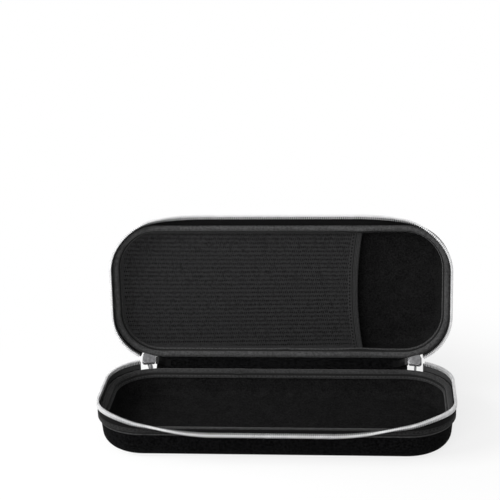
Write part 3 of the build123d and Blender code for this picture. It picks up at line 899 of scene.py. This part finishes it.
def tape_mesh(name, group, runs, foot, top, thick, front=False):
    """A tape standing round the rim from foot to top: a thin upright outline with rounded edges. Distance
    across it is counted up on its inner side and down on its outer side. At the front it is flared."""
    low, high = (foot, top)[:: HALVES[group].up]
    arc = np.radians([0, 45, 90, 135, 180])
    out = np.concatenate([np.cos(arc), -np.cos(arc)]) * thick / 2
    end = np.concatenate([np.sin(arc) - 1, 1 - np.sin(arc)]) * thick / 2
    share = np.repeat([1.0, 0.0], 5)
    low, high = np.broadcast_to(low, runs.shape)[:, None], np.broadcast_to(high, runs.shape)[:, None]
    height = low + (high - low) * share + end
    across = share * abs(high - low).mean()
    rows = round_rim(runs, -TAPE_OUT - np.broadcast_to(out, height.shape), height)
    rows = flared(rows, group) if front else rows
    return band_mesh(name, laid_open(rows, group), runs, np.append(across, -across[0]), sharp=50)


def skirt(runs, group):
    """How far a flared tape must reach below its fold: round a corner, the turn lifts its sewn edge."""
    least, spare = 0.25, 1.25
    centre, out = rim_stations(runs)
    point, half = centre + ZIP_RADIUS * out, HALVES[group]
    share = flare_share(point[:, 0], half)
    return least + spare * (point[:, 1] - FOLD_Y) * np.sin(np.radians(share * half.flare))


def zip_end_run(radius=CORNER):
    """How far the zip runs round each side, to its end near the spine, along corners of the radius."""
    turn = math.pi - math.asin((ZIP_END - LONG) / ZIP_RADIUS)
    return LONG + 2 * SHORT + radius * turn


def tape_pieces(group):
    """The tape: sewn round the rim and standing at the sides, and its two front halves on their flare."""
    side_thick, front_thick, band_thick, band_under, band_over, chain_gap = 0.6, 0.5, 0.7, 4.2, 0.4, 1.3
    end, (rim, up, *_) = zip_end_run(), HALVES[group]
    free = MIDDLE - up * chain_gap
    spans = ((-end, -SPLIT_RUN), (SPLIT_RUN, end))
    sides = [tape_mesh("tape", group, rim_runs(*span, 4, 1.8), rim, free, side_thick) for span in spans]
    sides = join_meshes(f"{group}_side_tape", sides)
    make_piece(f"{group}_side_tape", sides, group, "tape", [f"{group}_zip_tape"])
    runs, foot, top = rim_runs(-end, end, 4, 1.8), rim - up * band_under, rim + up * band_over
    sewn = tape_mesh(f"{group}_sewn_band", group, runs, foot, top, band_thick)
    make_piece(f"{group}_sewn_band", sewn, group, "edging")
    for side, low, high in (("left", -SPLIT_RUN, 0.0), ("right", 0.0, SPLIT_RUN)):
        name, runs = f"{group}_front_tape_{side}", rim_runs(low, high, 2.5, 1.6)
        mesh = tape_mesh("tape", group, runs, rim - up * skirt(runs, group), free, front_thick, front=True)
        follow_flare(make_piece(name, mesh, None, "tape", [f"{group}_front_tape"]), group)


def join_meshes(name, meshes):
    """Several meshes as one."""
    work = bmesh.new()
    for mesh in meshes:
        work.from_mesh(mesh)
    joined = bpy.data.meshes.new(name)
    work.to_mesh(joined)
    work.free()
    for mesh in meshes:
        bpy.data.meshes.remove(mesh)
    joined.polygons.foreach_set("use_smooth", np.ones(len(joined.polygons), bool))
    return joined


def tooth_form(up):
    """One tooth: a tall slim leg, a flat wide head and a narrow tip that slips between the other half's
    tips. The outline is repeated in six layers: slim, slim, wide, wide, slim, slim."""
    leg, head = mm("tooth_leg") / 2, mm("tooth_head") / 2
    slim = [[leg, -3.0], [leg, -1.3], [leg, -1.15], [leg, -0.6], [0.33, -0.5], [0.32, 0.4], [0.22, 0.5]]
    wide = slim[:2] + [[head, -1.15], [head, -0.6]] + slim[4:]
    slim, wide = (np.concatenate([half, np.array(half[::-1]) * [-1, 1]]) for half in (slim, wide))
    drawn = (slim - [0, -1.2]) * [0.7, 0.94] + [0, -1.2]
    layers = [(drawn, -1.02), (slim, -0.84), (wide, -0.5), (wide, 0.5), (slim, 0.84), (drawn, 1.02)]
    points = np.concatenate([np.column_stack([o, np.full(len(o), z)]) for o, z in layers])
    points[:, 1] *= up
    count = len(slim)
    quads, _, _ = grid_faces(6, count, False, True)
    faces = list(quads) + [np.arange(count), np.arange(6 * count - 1, 5 * count - 1, -1)]
    if up < 0:
        faces = [f[::-1] for f in faces]
    return points, faces


def chain_mesh(name, runs, group, front=False):
    """Teeth at the runs: each tooth's along, up and out are added to its place on the rim."""
    form, faces = tooth_form(HALVES[group].up)
    centre, out = rim_stations(runs)
    place = np.column_stack([centre + ZIP_RADIUS * out, np.full(len(runs), MIDDLE)])
    along = np.column_stack([-out[:, 1], out[:, 0], np.zeros(len(runs))])
    outwards = np.column_stack([out, np.zeros(len(runs))])
    points = (
        place[:, None]
        + form[None, :, :1] * along[:, None]
        + form[None, :, 1:2] * np.array([0, 0, 1.0])
        + form[None, :, 2:] * outwards[:, None]
    ).reshape(-1, 3)
    points = flared(points, group) if front else points
    all_faces = [f + start for start in np.arange(len(runs)) * len(form) for f in faces]
    return make_mesh(name, laid_open(points, group), all_faces, sharp=35)


def chain_pieces(group):
    """One half-chain: rigid round the sides, and two front halves on their flare. The tray's teeth stand a
    quarter of the pitch to one side and the lid's as far to the other."""
    pitch, corner = mm("tooth_pitch"), ZIP_RADIUS * math.pi / 2
    count = int(zip_end_run(ZIP_RADIUS) / pitch - 0.5)
    on_chain = (np.arange(-count, count) + 0.25) * pitch * HALVES[group].up
    knots = np.cumsum([0, LONG, corner, 2 * SHORT, corner, LONG])
    runs = np.sign(on_chain) * np.interp(np.abs(on_chain), knots, RIM_KNOTS)
    front = np.abs(runs) <= SPLIT_RUN
    sides = chain_mesh(f"{group}_side_chain", runs[~front], group)
    make_piece(f"{group}_side_chain", sides, group, "teeth", [f"{group}_side_teeth"])
    for side, mask in (("left", front & (runs <= 0)), ("right", front & (runs > 0))):
        name = f"{group}_front_chain_{side}"
        mesh = chain_mesh(name, runs[mask], group, front=True)
        follow_flare(make_piece(name, mesh, None, "teeth", [f"{group}_front_teeth"]), group)


# ---------------------------------------------------------------- spine, sliders and pulls


def spine_outline(extra=0.0):
    """The spine across: a tail on the tray's wall, an arc about the hinge line, and a tail on the lid's. The
    arc's radius falls a little towards its ends, with the square of the distance from its middle."""
    stand_off, fall, count = 0.75, 0.22, 19
    angles, share = np.radians(np.linspace(-78, -16, count)), np.linspace(-1, 1, count)
    radius = SPINE_CREST + extra - fall * share**2
    arc_y, arc_z = HINGE_Y + radius * np.cos(angles), MIDDLE + radius * np.sin(angles)
    tail_z = np.array([22.6, 24.0, 25.6])
    tail_y, none = np.full(tail_z.size, WIDTH / 2 + stand_off + extra), np.zeros(tail_z.size)
    tail = np.stack([none, tail_y, tail_z], -1)
    lid_tail = laid_open(np.stack([none, tail_y, 2 * MIDDLE - tail_z[::-1]], -1), "lid")
    return np.concatenate([tail, np.stack([np.zeros(count), arc_y, arc_z], -1), lid_tail])


def spine_rows(x, extra=0.0, thick=1.0):
    """The spine along x: its outline outside, and the same one a thickness further in."""
    outer = spine_outline(extra)
    step = np.gradient(outer, axis=0)
    inwards = np.stack([np.zeros(len(outer)), -step[:, 2], step[:, 1]], -1)
    inwards /= np.linalg.norm(inwards, axis=-1, keepdims=True)
    loop = np.concatenate([outer, (outer + inwards * thick)[::-1]])
    rows = np.repeat(loop[None], len(x), 0)
    rows[..., 0] = x[:, None]
    return rows, spaced(np.concatenate([loop, loop[:1]]))


def spine_pieces():
    """The fabric spine, in an arc from the tray's wall to the lid's, and its folded ends. Where it meets the
    tray and the lid is worked out, but not used. The fabric puckers in a sine along it, most in the middle of
    its outline."""
    start, end = (
        tuple(laid_open([0, WIDTH / 2 + TAPE_OUT, half.rim], group) * MM) for group, half in HALVES.items()
    )
    tucked, pucker, pucker_step = 1.0, 0.05, 7.3
    inner = SPINE_HALF - SPINE_TAB
    x = np.linspace(-inner - tucked, inner + tucked, 90)
    rows, across = spine_rows(x)
    wave = pucker * np.sin(x * 2 * np.pi / pucker_step)
    rows[..., 2] += wave[:, None] * np.sin(np.linspace(0, np.pi, rows.shape[1]))[None]
    mesh = band_mesh("fabric_spine", rows, x, across)
    panel = make_piece("fabric_spine", mesh, None, "twill", ["spine_panel"])
    ends = []
    for side in (-1, 1):
        x = np.linspace(side * inner, side * SPINE_HALF, 9)
        rows, across = spine_rows(x, extra=0.45, thick=1.5)
        ends.append(band_mesh("end", rows, x, across))
    mesh = join_meshes("spine_ends", ends)
    tabs = make_piece("spine_ends", mesh, None, "tape", ["spine_tabs"])
    for piece in (panel, tabs):
        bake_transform(piece)


def cut_plate(outline, thickness, bevel, holes=()):
    """A flat plate with rounded edges: closed outlines filled and thickened by a flat curve."""
    curve = bpy.data.curves.new("plate", "CURVE")
    curve.dimensions, curve.fill_mode = "2D", "BOTH"
    curve.extrude, curve.bevel_depth, curve.bevel_resolution = thickness / 2 - bevel, bevel, 2
    curve.offset = -bevel
    for loop in (outline, *holes):
        spline = curve.splines.new("POLY")
        spline.points.add(len(loop) - 1)
        flat_loop = np.column_stack([loop, np.zeros(len(loop)), np.ones(len(loop))])
        spline.points.foreach_set("co", flat_loop.ravel())
        spline.use_cyclic_u = True
    holder = bpy.data.objects.new("plate", curve)
    mesh = bpy.data.meshes.new_from_object(holder)
    co = np.zeros(len(mesh.vertices) * 3)
    mesh.vertices.foreach_get("co", co)
    faces = [np.array(p.vertices) for p in mesh.polygons]
    bpy.data.objects.remove(holder)
    bpy.data.curves.remove(curve)
    bpy.data.meshes.remove(mesh)
    return co.reshape(-1, 3), faces


def plates_mesh(name, plates, place):
    """Plates joined into one mesh. Each is points, faces and a turn of its own before the shared place."""
    points, faces, start = [], [], 0
    for (co, quads), local in plates:
        co = np.column_stack([co, np.ones(len(co))]) @ np.array(local).T
        points.append(co[:, :3])
        faces += [f + start for f in quads]
        start += len(co)
    return make_mesh(name, place(np.concatenate(points)), faces, sharp=35, weld=0.001)


def rounded_box(width, height, radius, count=7):
    """Outline of a rectangle with rounded corners."""
    arc = np.linspace(0, np.pi / 2, count)
    corners = []
    for quarter, (sx, sy) in enumerate(((1, 1), (-1, 1), (-1, -1), (1, -1))):
        a = arc + quarter * np.pi / 2
        centre = [sx * (width / 2 - radius), sy * (height / 2 - radius)]
        corners.append(np.stack([centre[0] + radius * np.cos(a), centre[1] + radius * np.sin(a)], -1))
    return np.concatenate(corners)


def hull_of_circles(circles, count=56):
    """Outline round circles: in each direction, the circle that reaches furthest gives the point."""
    angle = np.linspace(0, 2 * np.pi, count, endpoint=False)
    direction = np.stack([np.cos(angle), np.sin(angle)], -1)
    centres, radii = np.array([c[:2] for c in circles]), np.array([c[2] for c in circles])
    furthest = np.argmax(direction @ centres.T + radii, 1)
    return centres[furthest] + radii[furthest, None] * direction


def slider_frame(side):
    """Where a slider lies on the closed case: its origin, and x to its shoulder, y and z outwards."""
    turn = math.asin((SLIDER_X - LONG) / ZIP_RADIUS)
    x = np.array([side * math.cos(turn), -math.sin(turn), 0])
    z = np.array([side * math.sin(turn), math.cos(turn), 0])
    origin = np.array([side * SLIDER_X, SHORT + ZIP_RADIUS * math.cos(turn), MIDDLE])
    return origin, np.stack([x, np.cross(z, x), z])


def set_in(origin, axes):
    """A function that takes points in a frame of the closed case to the open spine."""
    return lambda points: laid_open(origin + points @ axes, "spine")


def slider_piece(side, hand):
    """A slider: two shield plates, the wedge and flanges between them, and an arched crown."""
    shoulder_half, shoulder_round, tail_half, tail_round = 4.6, 2.2, 3.2, 1.5
    wedge_side, wedge_round, arch_thick, flange_thick, flange_wide = 1.9, 0.4, 1.8, 0.62, 0.8
    shoulder, tail = SLIDER_HALF - shoulder_round, tail_round - SLIDER_HALF
    shield = [(shoulder, up * (shoulder_half - shoulder_round), shoulder_round) for up in (1, -1)]
    shield += [(tail, up * (tail_half - tail_round), tail_round) for up in (1, -1)]
    shield = hull_of_circles(shield)
    eighth_turn = np.array([[0.7071, 0.7071], [-0.7071, 0.7071]])
    wedge = rounded_box(wedge_side, wedge_side, wedge_round, 4) @ eighth_turn
    under = CROWN_RISE - CROWN_BAR
    half_arch = np.array([(3.0, 0), (3.0, 1.9), (2.6, 2.75), (1.7, CROWN_RISE)])
    half_hole = np.array([(2.1, 0), (2.1, 1.75), (1.6, under)])
    arch = np.concatenate([half_arch * [-1, 1], half_arch[::-1], half_hole, half_hole[::-1] * [-1, 1]])
    face = SLIDER_GAP / 2 + SLIDER_PLATE
    upright = Matrix.Translation((0, 0, face)) @ Matrix.Rotation(math.pi / 2, 4, "X")
    apart = (SLIDER_GAP + SLIDER_PLATE) / 2
    plates = [
        (cut_plate(shield, SLIDER_PLATE, 0.3), Matrix.Translation((0, 0, apart))),
        (cut_plate(shield, SLIDER_PLATE, 0.3), Matrix.Translation((0, 0, -apart))),
        (cut_plate(wedge, SLIDER_GAP + 0.1, 0.05), Matrix.Translation((shoulder, 0, 0))),
        (cut_plate(arch, arch_thick, 0.22), upright),
    ]
    angle = math.atan((shoulder_half - tail_half) / (shoulder - tail))
    flange, flange_out, flange_level = rounded_box(shoulder - tail, flange_wide, 0.2, 3), 3.5, 1.05
    for up in (-1, 1):
        for level in (-flange_level, flange_level):
            middle = Matrix.Translation(((shoulder + tail) / 2, up * flange_out, level))
            turned_in = middle @ Matrix.Rotation(up * angle, 4, "Z")
            plates.append((cut_plate(flange, flange_thick, 0.1), turned_in))
    mesh = plates_mesh(f"{hand}_slider_body", plates, set_in(*slider_frame(side)))
    make_piece(f"{hand}_slider_body", mesh, "spine", "metal", [f"{hand}_slider"])


def pull_piece(side, hand):
    """A pull: a bright rim with a window for the crown and an oval thumb slot, a grey panel and the pin. Its
    outline goes round four circles, each an x, a y and a radius."""
    rim_thick, inset_thick, pin_side, pin_length = 1.6, 0.8, 1.15, 3.8
    origin, axes = slider_frame(side)
    pin = SLIDER_GAP / 2 + SLIDER_PLATE + (CROWN_RISE - CROWN_BAR) - PIN_PLAY - PIN_RADIUS
    place = set_in(origin + axes[2] * pin, np.array([[0, 0, 1.0], [0, 1.0, 0], [-1.0, 0, 0]]))
    plate = [(1.9, 0.9, 1.7), (-1.9, 0.9, 1.7), (1.25, 21.2, 3.0), (-1.25, 21.2, 3.0)]
    window = rounded_box(3.3, 5.2, 0.5, 4) + [0, 2.6]
    slot = rounded_box(2.3, 4.7, 1.1, 6) + [0, 21.0]
    panel = rounded_box(6.0, 11.4, 1.2) + [0, 12.1]
    outline = hull_of_circles(plate, 72)
    lying, across = Matrix.Identity(4), Matrix.Rotation(math.pi / 2, 4, "Y")
    plates = [
        (cut_plate(outline, rim_thick, 0.4, [window, slot, panel]), lying),
        (cut_plate(rounded_box(pin_side, pin_side, 0.57, 6), pin_length, 0.1), across),
    ]
    rim, body = plates_mesh("rim", plates, place), f"{hand}_pull"
    make_piece(f"{hand}_pull_rim", rim, body, "metal", [f"{hand}_pull"])
    inset = plates_mesh("inset", [(cut_plate(panel * [1.04, 1], inset_thick, 0.1), lying)], place)
    make_piece(f"{hand}_pull_inset", inset, body, "inset")


def tail_piece():
    """The ends of the zip's tape, from each stop to under the spine, as flat ribbons along a soft ramp."""
    half_tape, half_thick, ramp, tucked, under_spine = 3.0, 0.28, 5.5, 8.0, 6.6
    tails = []
    for side in (-1, 1):
        origin, axes = slider_frame(side)
        stop_end = origin - axes[0] * (SLIDER_HALF + STOP_GAP + STOP_LENGTH + STOP_GAP)
        far = side * (SPINE_HALF - SPINE_TAB - tucked)
        x = np.linspace(stop_end[0], far, 24)
        share = smooth_step((np.abs(stop_end[0]) - np.abs(x)) / ramp)
        y = stop_end[1] + (HINGE_Y + under_spine - stop_end[1]) * share
        turn = np.linspace(0, 2 * np.pi, 20, endpoint=False)
        up, thick = half_tape * squared(np.cos(turn), 0.3), half_thick * squared(np.sin(turn), 0.6)
        rows = np.stack(np.broadcast_arrays(x[:, None], y[:, None] + thick, MIDDLE + up), -1)
        tails.append(band_mesh("tail", laid_open(rows, "spine"), x, up))
    mesh = join_meshes("tape_tails", tails)
    make_piece("tape_tails", mesh, "spine", "tape", ["zip_tails"])


# ---------------------------------------------------------------- handle and print


def handle_open(points):
    """Points in the handle's own plane, x along the case and y away from its roots, where they lie."""
    points = points + [0, HINGE_Y + PIVOT_OUT, MIDDLE]
    return laid_open(turned(points, HINGE_Y + PIVOT_OUT, MIDDLE, HANDLE_LIFT), "spine")


def rounded_section(half_width, half_thick, power, count=36):
    """Outline |x/a|^n + |y/b|^n = 1, flat for a high n and round for a low one."""
    turn = np.linspace(0, 2 * np.pi, count, endpoint=False)
    share = 2 / power[:, None]
    wide, thick = squared(np.cos(turn)[None], share), squared(np.sin(turn)[None], share)
    return half_width[:, None] * wide, half_thick[:, None] * thick


def handle_piece():
    """The handle: webbing that rises from two roots, draws in and folds double round the grip. Each
    section lies between an inner and an outer edge line, and thickens as the webbing folds."""
    grip_steps, leg_steps = 44, 25
    middle = REACH - GRIP_WIDTH / 2
    radius = (GRIP_LENGTH**2 / 4 + GRIP_SAG**2) / (2 * GRIP_SAG)
    end = math.asin(GRIP_LENGTH / 2 / radius)
    bend = np.linspace(end, -end, grip_steps)[:, None]
    ring = np.concatenate([np.sin(bend), np.cos(bend)], 1)
    drop = np.array([0, middle - radius])
    top, low = drop + (radius + GRIP_WIDTH / 2) * ring, drop + (radius - GRIP_WIDTH / 2) * ring
    t = np.linspace(0, 1, leg_steps + 1)[:-1, None]
    outer_root, inner_root = HANDLE_ROOT + WEBBING / 2, HANDLE_ROOT - WEBBING / 2
    knots = [(outer_root, 0), (outer_root, 0.7 * top[0, 1]), (top[0, 0] + 10, top[0, 1]), tuple(top[0])]
    weights = [(1 - t) ** 3, 3 * t * (1 - t) ** 2, 3 * t**2 * (1 - t), t**3]
    outer = sum(np.array(knot) * weight for knot, weight in zip(knots, weights))
    inner = np.array([inner_root, 0]) + (low[0] - [inner_root, 0]) * (t + 0.08 * np.sin(np.pi * t))
    outside = np.concatenate([outer, top, outer[::-1] * [-1, 1]])
    inside = np.concatenate([inner, low, inner[::-1] * [-1, 1]])
    fold = smooth_step((t[:, 0] - 0.35) / 0.62)
    fold = np.concatenate([fold, np.ones(grip_steps), fold[::-1]])
    centre, span = (outside + inside) / 2, outside - inside
    half_width = np.linalg.norm(span, axis=1) / 2
    across = span / (2 * half_width[:, None])
    half_thick = WEBBING_THICK / 2 + fold * (GRIP_THICK - WEBBING_THICK) / 2
    tip = np.ones(len(outside))
    tip[[0, -1]] = 0.55
    wide, thick = rounded_section(half_width, half_thick * tip, 7.0 - 3.8 * fold)
    crease = 1 - 0.22 * fold[:, None] * np.exp(-(((wide / half_width[:, None]) + 1) / 0.06) ** 2)
    wide = wide * crease
    rows = np.concatenate([centre[:, None] + wide[..., None] * across[:, None], thick[..., None]], -1)
    mesh = band_mesh("webbing_handle", handle_open(rows), spaced(centre), wide[0])
    nodes = ["left_handle_leg", "right_handle_leg", "handle_grip"]
    make_piece("webbing_handle", mesh, "handle", "webbing", nodes)


def anchor_piece():
    """The webbing's two stubs, where the handle comes out of the spine."""
    stubs = []
    for side in (-1, 1):
        y = np.array([-0.4, 0.1, 0.8, 1.3, 1.6]) + HINGE_Y + SPINE_CREST + SEAM
        grow = np.array([1.06, 1.03, 1, 0.99, 0.9])
        wide, thick = rounded_section(WEBBING / 2 * grow, WEBBING_THICK / 2 * grow, np.full(5, 6.0))
        rows = np.stack(np.broadcast_arrays(side * HANDLE_ROOT + wide, y[:, None], MIDDLE + thick), -1)
        stubs.append(band_mesh("stub", laid_open(rows, "spine"), y, wide[0]))
    mesh = join_meshes("handle_stubs", stubs)
    make_piece("handle_stubs", mesh, "spine", "webbing", ["handle_anchors"])


def print_piece():
    """A heartbeat trace printed across the lid: one even line with two beats of unlike height."""
    beats = [(-86, 0), (-58, 0), (-53, 5), (-49, 0), (-45, 0), (-42, -5), (-36, 27), (-29, -17), (-24, 0)]
    beats += [(-17, 0), (-10, 8), (-3, 0), (16, 0), (20, -4), (25, 18), (31, -11), (35, 0), (42, 0)]
    beats += [(48, 6), (54, 0), (86, 0)]
    half_line, ink_top, ink_thick, pieces_per_stroke, dome_share = 0.85, 0.12, 0.3, 10, 0.86
    line = np.array(beats, float)
    step = np.diff(line, axis=0)
    step /= np.linalg.norm(step, axis=1, keepdims=True)
    normal = np.stack([-step[:, 1], step[:, 0]], -1)
    before, after = np.concatenate([normal[:1], normal]), np.concatenate([normal, normal[-1:]])
    mitre = before + after
    mitre /= np.maximum(np.einsum("ij,ij->i", mitre, before), 0.55)[:, None]
    flat = np.stack([line + mitre * half_line, line - mitre * half_line], 1)
    lid, crown = HALVES["lid"], mm("cover_crown")
    top = np.pad(flat, ((0, 0), (0, 0), (0, 1)), constant_values=lid.rim + lid.height + crown + ink_top)
    bottom = top - [0, 0, ink_thick]
    rows = np.stack([top[:, 0], top[:, 1], bottom[:, 1], bottom[:, 0]], 1)
    fine = np.linspace(0, len(rows) - 1, pieces_per_stroke * (len(rows) - 1) + 1)
    low, part = np.minimum(fine.astype(int), len(rows) - 2), (fine % 1)[:, None, None]
    part[-1] = 1
    rows = rows[low] * (1 - part) + rows[low + 1] * part
    centre = rows.mean(1)
    inset = np.minimum(WIDTH / 2 - np.abs(centre[:, 1]), LENGTH / 2 - np.abs(centre[:, 0]))
    rows[..., 2] -= (crown * (1 - crown_share(inset) * dome_share))[:, None]
    mesh = band_mesh("pulse_line", laid_open(rows, "lid"), spaced(centre), np.arange(5.0), sharp=30)
    make_piece("pulse_line", mesh, "lid", "ink")


# ---------------------------------------------------------------- studio


def background_mask(nodes):
    """1 for the rays that see the room itself: from the camera, off gloss or through glass."""
    rays = nodes.node("ShaderNodeLightPath").socket.node.outputs
    kinds = ("Is Camera Ray", "Is Glossy Ray", "Is Transmission Ray")
    camera, gloss, glass = (Amount(nodes, rays[kind]) for kind in kinds)
    return nodes.node("ShaderNodeMath", {"operation": "MINIMUM"}, camera + gloss + glass, 1.0)


def make_world(ambient):
    """A room that lights evenly, and that looks white."""
    world = bpy.data.worlds.new("studio_room")
    bpy.context.scene.world = world
    world.use_nodes = True
    back = world.node_tree.nodes["Background"]
    back.inputs["Color"].default_value = (1, 1, 1, 1)
    strength = background_mask(Nodes(world.node_tree)) * (1 - ambient) + ambient
    world.node_tree.links.new(strength.socket, back.inputs["Strength"])


def make_floor():
    """A pale floor that stays white to the camera and keeps the case's shadow."""
    size, z = 6.0, -0.00005
    mesh = bpy.data.meshes.new("floor")
    corners = [(-size, -size, z), (size, -size, z), (size, size, z), (-size, size, z)]
    mesh.from_pydata(corners, [], [(0, 1, 2, 3)])
    f = Finish("studio_floor", "floor", 0.9, specular=0.1)
    glow = f.node("ShaderNodeEmission", None, (1, 1, 1, 1), 1.0)
    away = f.node("ShaderNodeVectorMath", {"operation": "LENGTH"}, f.place(), out=1)
    mask = background_mask(f) * f.ramp(away, 0.15, 0.34, 0.78, 1.0)
    mixer = f.node("ShaderNodeMixShader", None, mask, Amount(f, f.shader.outputs[0]), glow)
    f.tree.links.new(mixer.socket, f.tree.nodes["Material Output"].inputs["Surface"])
    mesh.materials.append(f.material)
    add_to_scene("floor", mesh)


def make_lamp(name, where, aim, size, power):
    """A square soft lamp that looks at a point."""
    lamp = bpy.data.lights.new(name, "AREA")
    lamp.shape, lamp.size, lamp.energy = "SQUARE", size, power
    holder = add_to_scene(name, lamp)
    holder.location = where
    holder.rotation_euler = (Vector(aim) - Vector(where)).to_track_quat("-Z", "Y").to_euler()


def make_camera():
    """The view: azimuth, elevation and roll in degrees, about a target in the middle of the view."""
    azimuth, elevation, roll = (math.radians(a) for a in (-5.10, 19.14, -1.70))
    target, distance = Vector((-0.02043, 0.025, 0.14431)), 1.13668
    sensor, focal_pixels, view_pixels = 36, 1426.38, 500
    level = math.cos(elevation)
    ahead = Vector((math.sin(azimuth) * level, math.cos(azimuth) * level, -math.sin(elevation)))
    right = Vector((math.cos(azimuth), -math.sin(azimuth), 0))
    up = right.cross(ahead)
    tilted = math.cos(roll) * right + math.sin(roll) * up
    upright = -math.sin(roll) * right + math.cos(roll) * up
    camera = bpy.data.cameras.new("camera")
    camera.sensor_width, camera.lens = sensor, focal_pixels / view_pixels * sensor
    camera.clip_start, camera.clip_end = 0.05, 50
    holder = add_to_scene("camera", camera)
    turn = Matrix((tilted, upright, -ahead)).transposed().to_4x4()
    holder.matrix_world = Matrix.Translation(target - ahead * distance) @ turn
    bpy.context.scene.camera = holder


# ---------------------------------------------------------------- operators


class CASE_OT_shells(Operator):
    """Build the tray's and the lid's covers"""

    bl_idname = "case.shells"
    bl_label = "Shell covers"

    def execute(self, context):
        shell_piece("tray", 0.0)
        shell_piece("lid", mm("cover_crown"))
        return {"FINISHED"}


class CASE_OT_linings(Operator):
    """Build the linings"""

    bl_idname = "case.linings"
    bl_label = "Linings"

    def execute(self, context):
        for group in HALVES:
            lining_piece(group)
        return {"FINISHED"}


class CASE_OT_bindings(Operator):
    """Build the bindings round both rims"""

    bl_idname = "case.bindings"
    bl_label = "Rim bindings"

    def execute(self, context):
        binding_piece("tray", lap_run=35 - HALF_RIM)
        binding_piece("lid", lap_run=HALF_RIM - 2, drawn_at=POCKET_EDGE - POCKET_TAPE / 2)
        return {"FINISHED"}


class CASE_OT_pocket(Operator):
    """Build the mesh pocket and its elastic edge"""

    bl_idname = "case.pocket"
    bl_label = "Mesh pocket"

    def execute(self, context):
        mesh, tape = mesh_piece(), elastic_piece()
        return {"FINISHED"}


class CASE_OT_tapes(Operator):
    """Build the zip tapes"""

    bl_idname = "case.tapes"
    bl_label = "Zip tapes"

    def execute(self, context):
        for group in HALVES:
            tape_pieces(group)
        return {"FINISHED"}


class CASE_OT_chains(Operator):
    """Build the two half-chains of teeth"""

    bl_idname = "case.chains"
    bl_label = "Zip teeth"

    def execute(self, context):
        for group in HALVES:
            chain_pieces(group)
        return {"FINISHED"}


class CASE_OT_spine(Operator):
    """Build the fabric spine, its ends and the tape tails"""

    bl_idname = "case.spine"
    bl_label = "Spine"

    def execute(self, context):
        spine_pieces()
        tail_piece()
        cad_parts["zip_stops"].data.materials.clear()
        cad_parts["zip_stops"].data.materials.append(finish("blacking"))
        return {"FINISHED"}


class CASE_OT_sliders(Operator):
    """Build the sliders and their pulls"""

    bl_idname = "case.sliders"
    bl_label = "Sliders and pulls"

    def execute(self, context):
        for side, hand in ((-1, "left"), (1, "right")):
            slider_piece(side, hand)
            pull_piece(side, hand)
        return {"FINISHED"}


class CASE_OT_handle(Operator):
    """Build the webbing handle and its stubs"""

    bl_idname = "case.handle"
    bl_label = "Handle"

    def execute(self, context):
        handle_piece()
        anchor_piece()
        return {"FINISHED"}


class CASE_OT_print(Operator):
    """Print the line on the lid"""

    bl_idname = "case.print"
    bl_label = "Lid print"

    def execute(self, context):
        print_piece()
        return {"FINISHED"}


class CASE_OT_stage(Operator):
    """Set up the floor, the lamps, the room and the camera"""

    bl_idname = "case.stage"
    bl_label = "Studio"

    def execute(self, context):
        studio = context.scene.case_studio
        make_world(studio.ambient)
        make_floor()
        make_lamp("key_lamp", (-1.0, -0.4, 0.75), (0, 0, 0.03), 0.7, studio.key_power)
        make_lamp("front_lamp", (-0.3, -1.3, 0.6), (0, 0, 0.06), 0.8, studio.front_power)
        make_camera()
        context.scene.view_settings.view_transform = "Standard"
        return {"FINISHED"}


class CASE_PT_panel(Panel):
    """Sizes, colours and light of the case, and the steps that build it"""

    bl_label = "Case"
    bl_idname = "CASE_PT_panel"
    bl_space_type = "VIEW_3D"
    bl_region_type = "UI"
    bl_category = "Case"

    def draw(self, context):
        for group in (context.scene.case_sizes, context.scene.case_colours, context.scene.case_studio):
            box = self.layout.box()
            for name in group.__annotations__:
                box.prop(group, name)
        for step in STEPS:
            self.layout.operator(step.bl_idname)


STEPS = (
    CASE_OT_shells,
    CASE_OT_linings,
    CASE_OT_bindings,
    CASE_OT_pocket,
    CASE_OT_tapes,
    CASE_OT_chains,
    CASE_OT_spine,
    CASE_OT_sliders,
    CASE_OT_handle,
    CASE_OT_print,
    CASE_OT_stage,
)
CLASSES = (CaseSizes, CaseColours, CaseStudio, *STEPS, CASE_PT_panel)


def register():
    for cls in CLASSES:
        bpy.utils.register_class(cls)
    bpy.types.Scene.case_sizes = PointerProperty(type=CaseSizes)
    bpy.types.Scene.case_colours = PointerProperty(type=CaseColours)
    bpy.types.Scene.case_studio = PointerProperty(type=CaseStudio)


def unregister():
    del bpy.types.Scene.case_studio, bpy.types.Scene.case_colours, bpy.types.Scene.case_sizes
    for cls in reversed(CLASSES):
        bpy.utils.unregister_class(cls)


def main():
    """Builds every piece and the studio."""
    register()
    for step in STEPS:
        group, name = step.bl_idname.split(".")
        getattr(getattr(bpy.ops, group), name)()


if __name__ == "__main__":
    main()
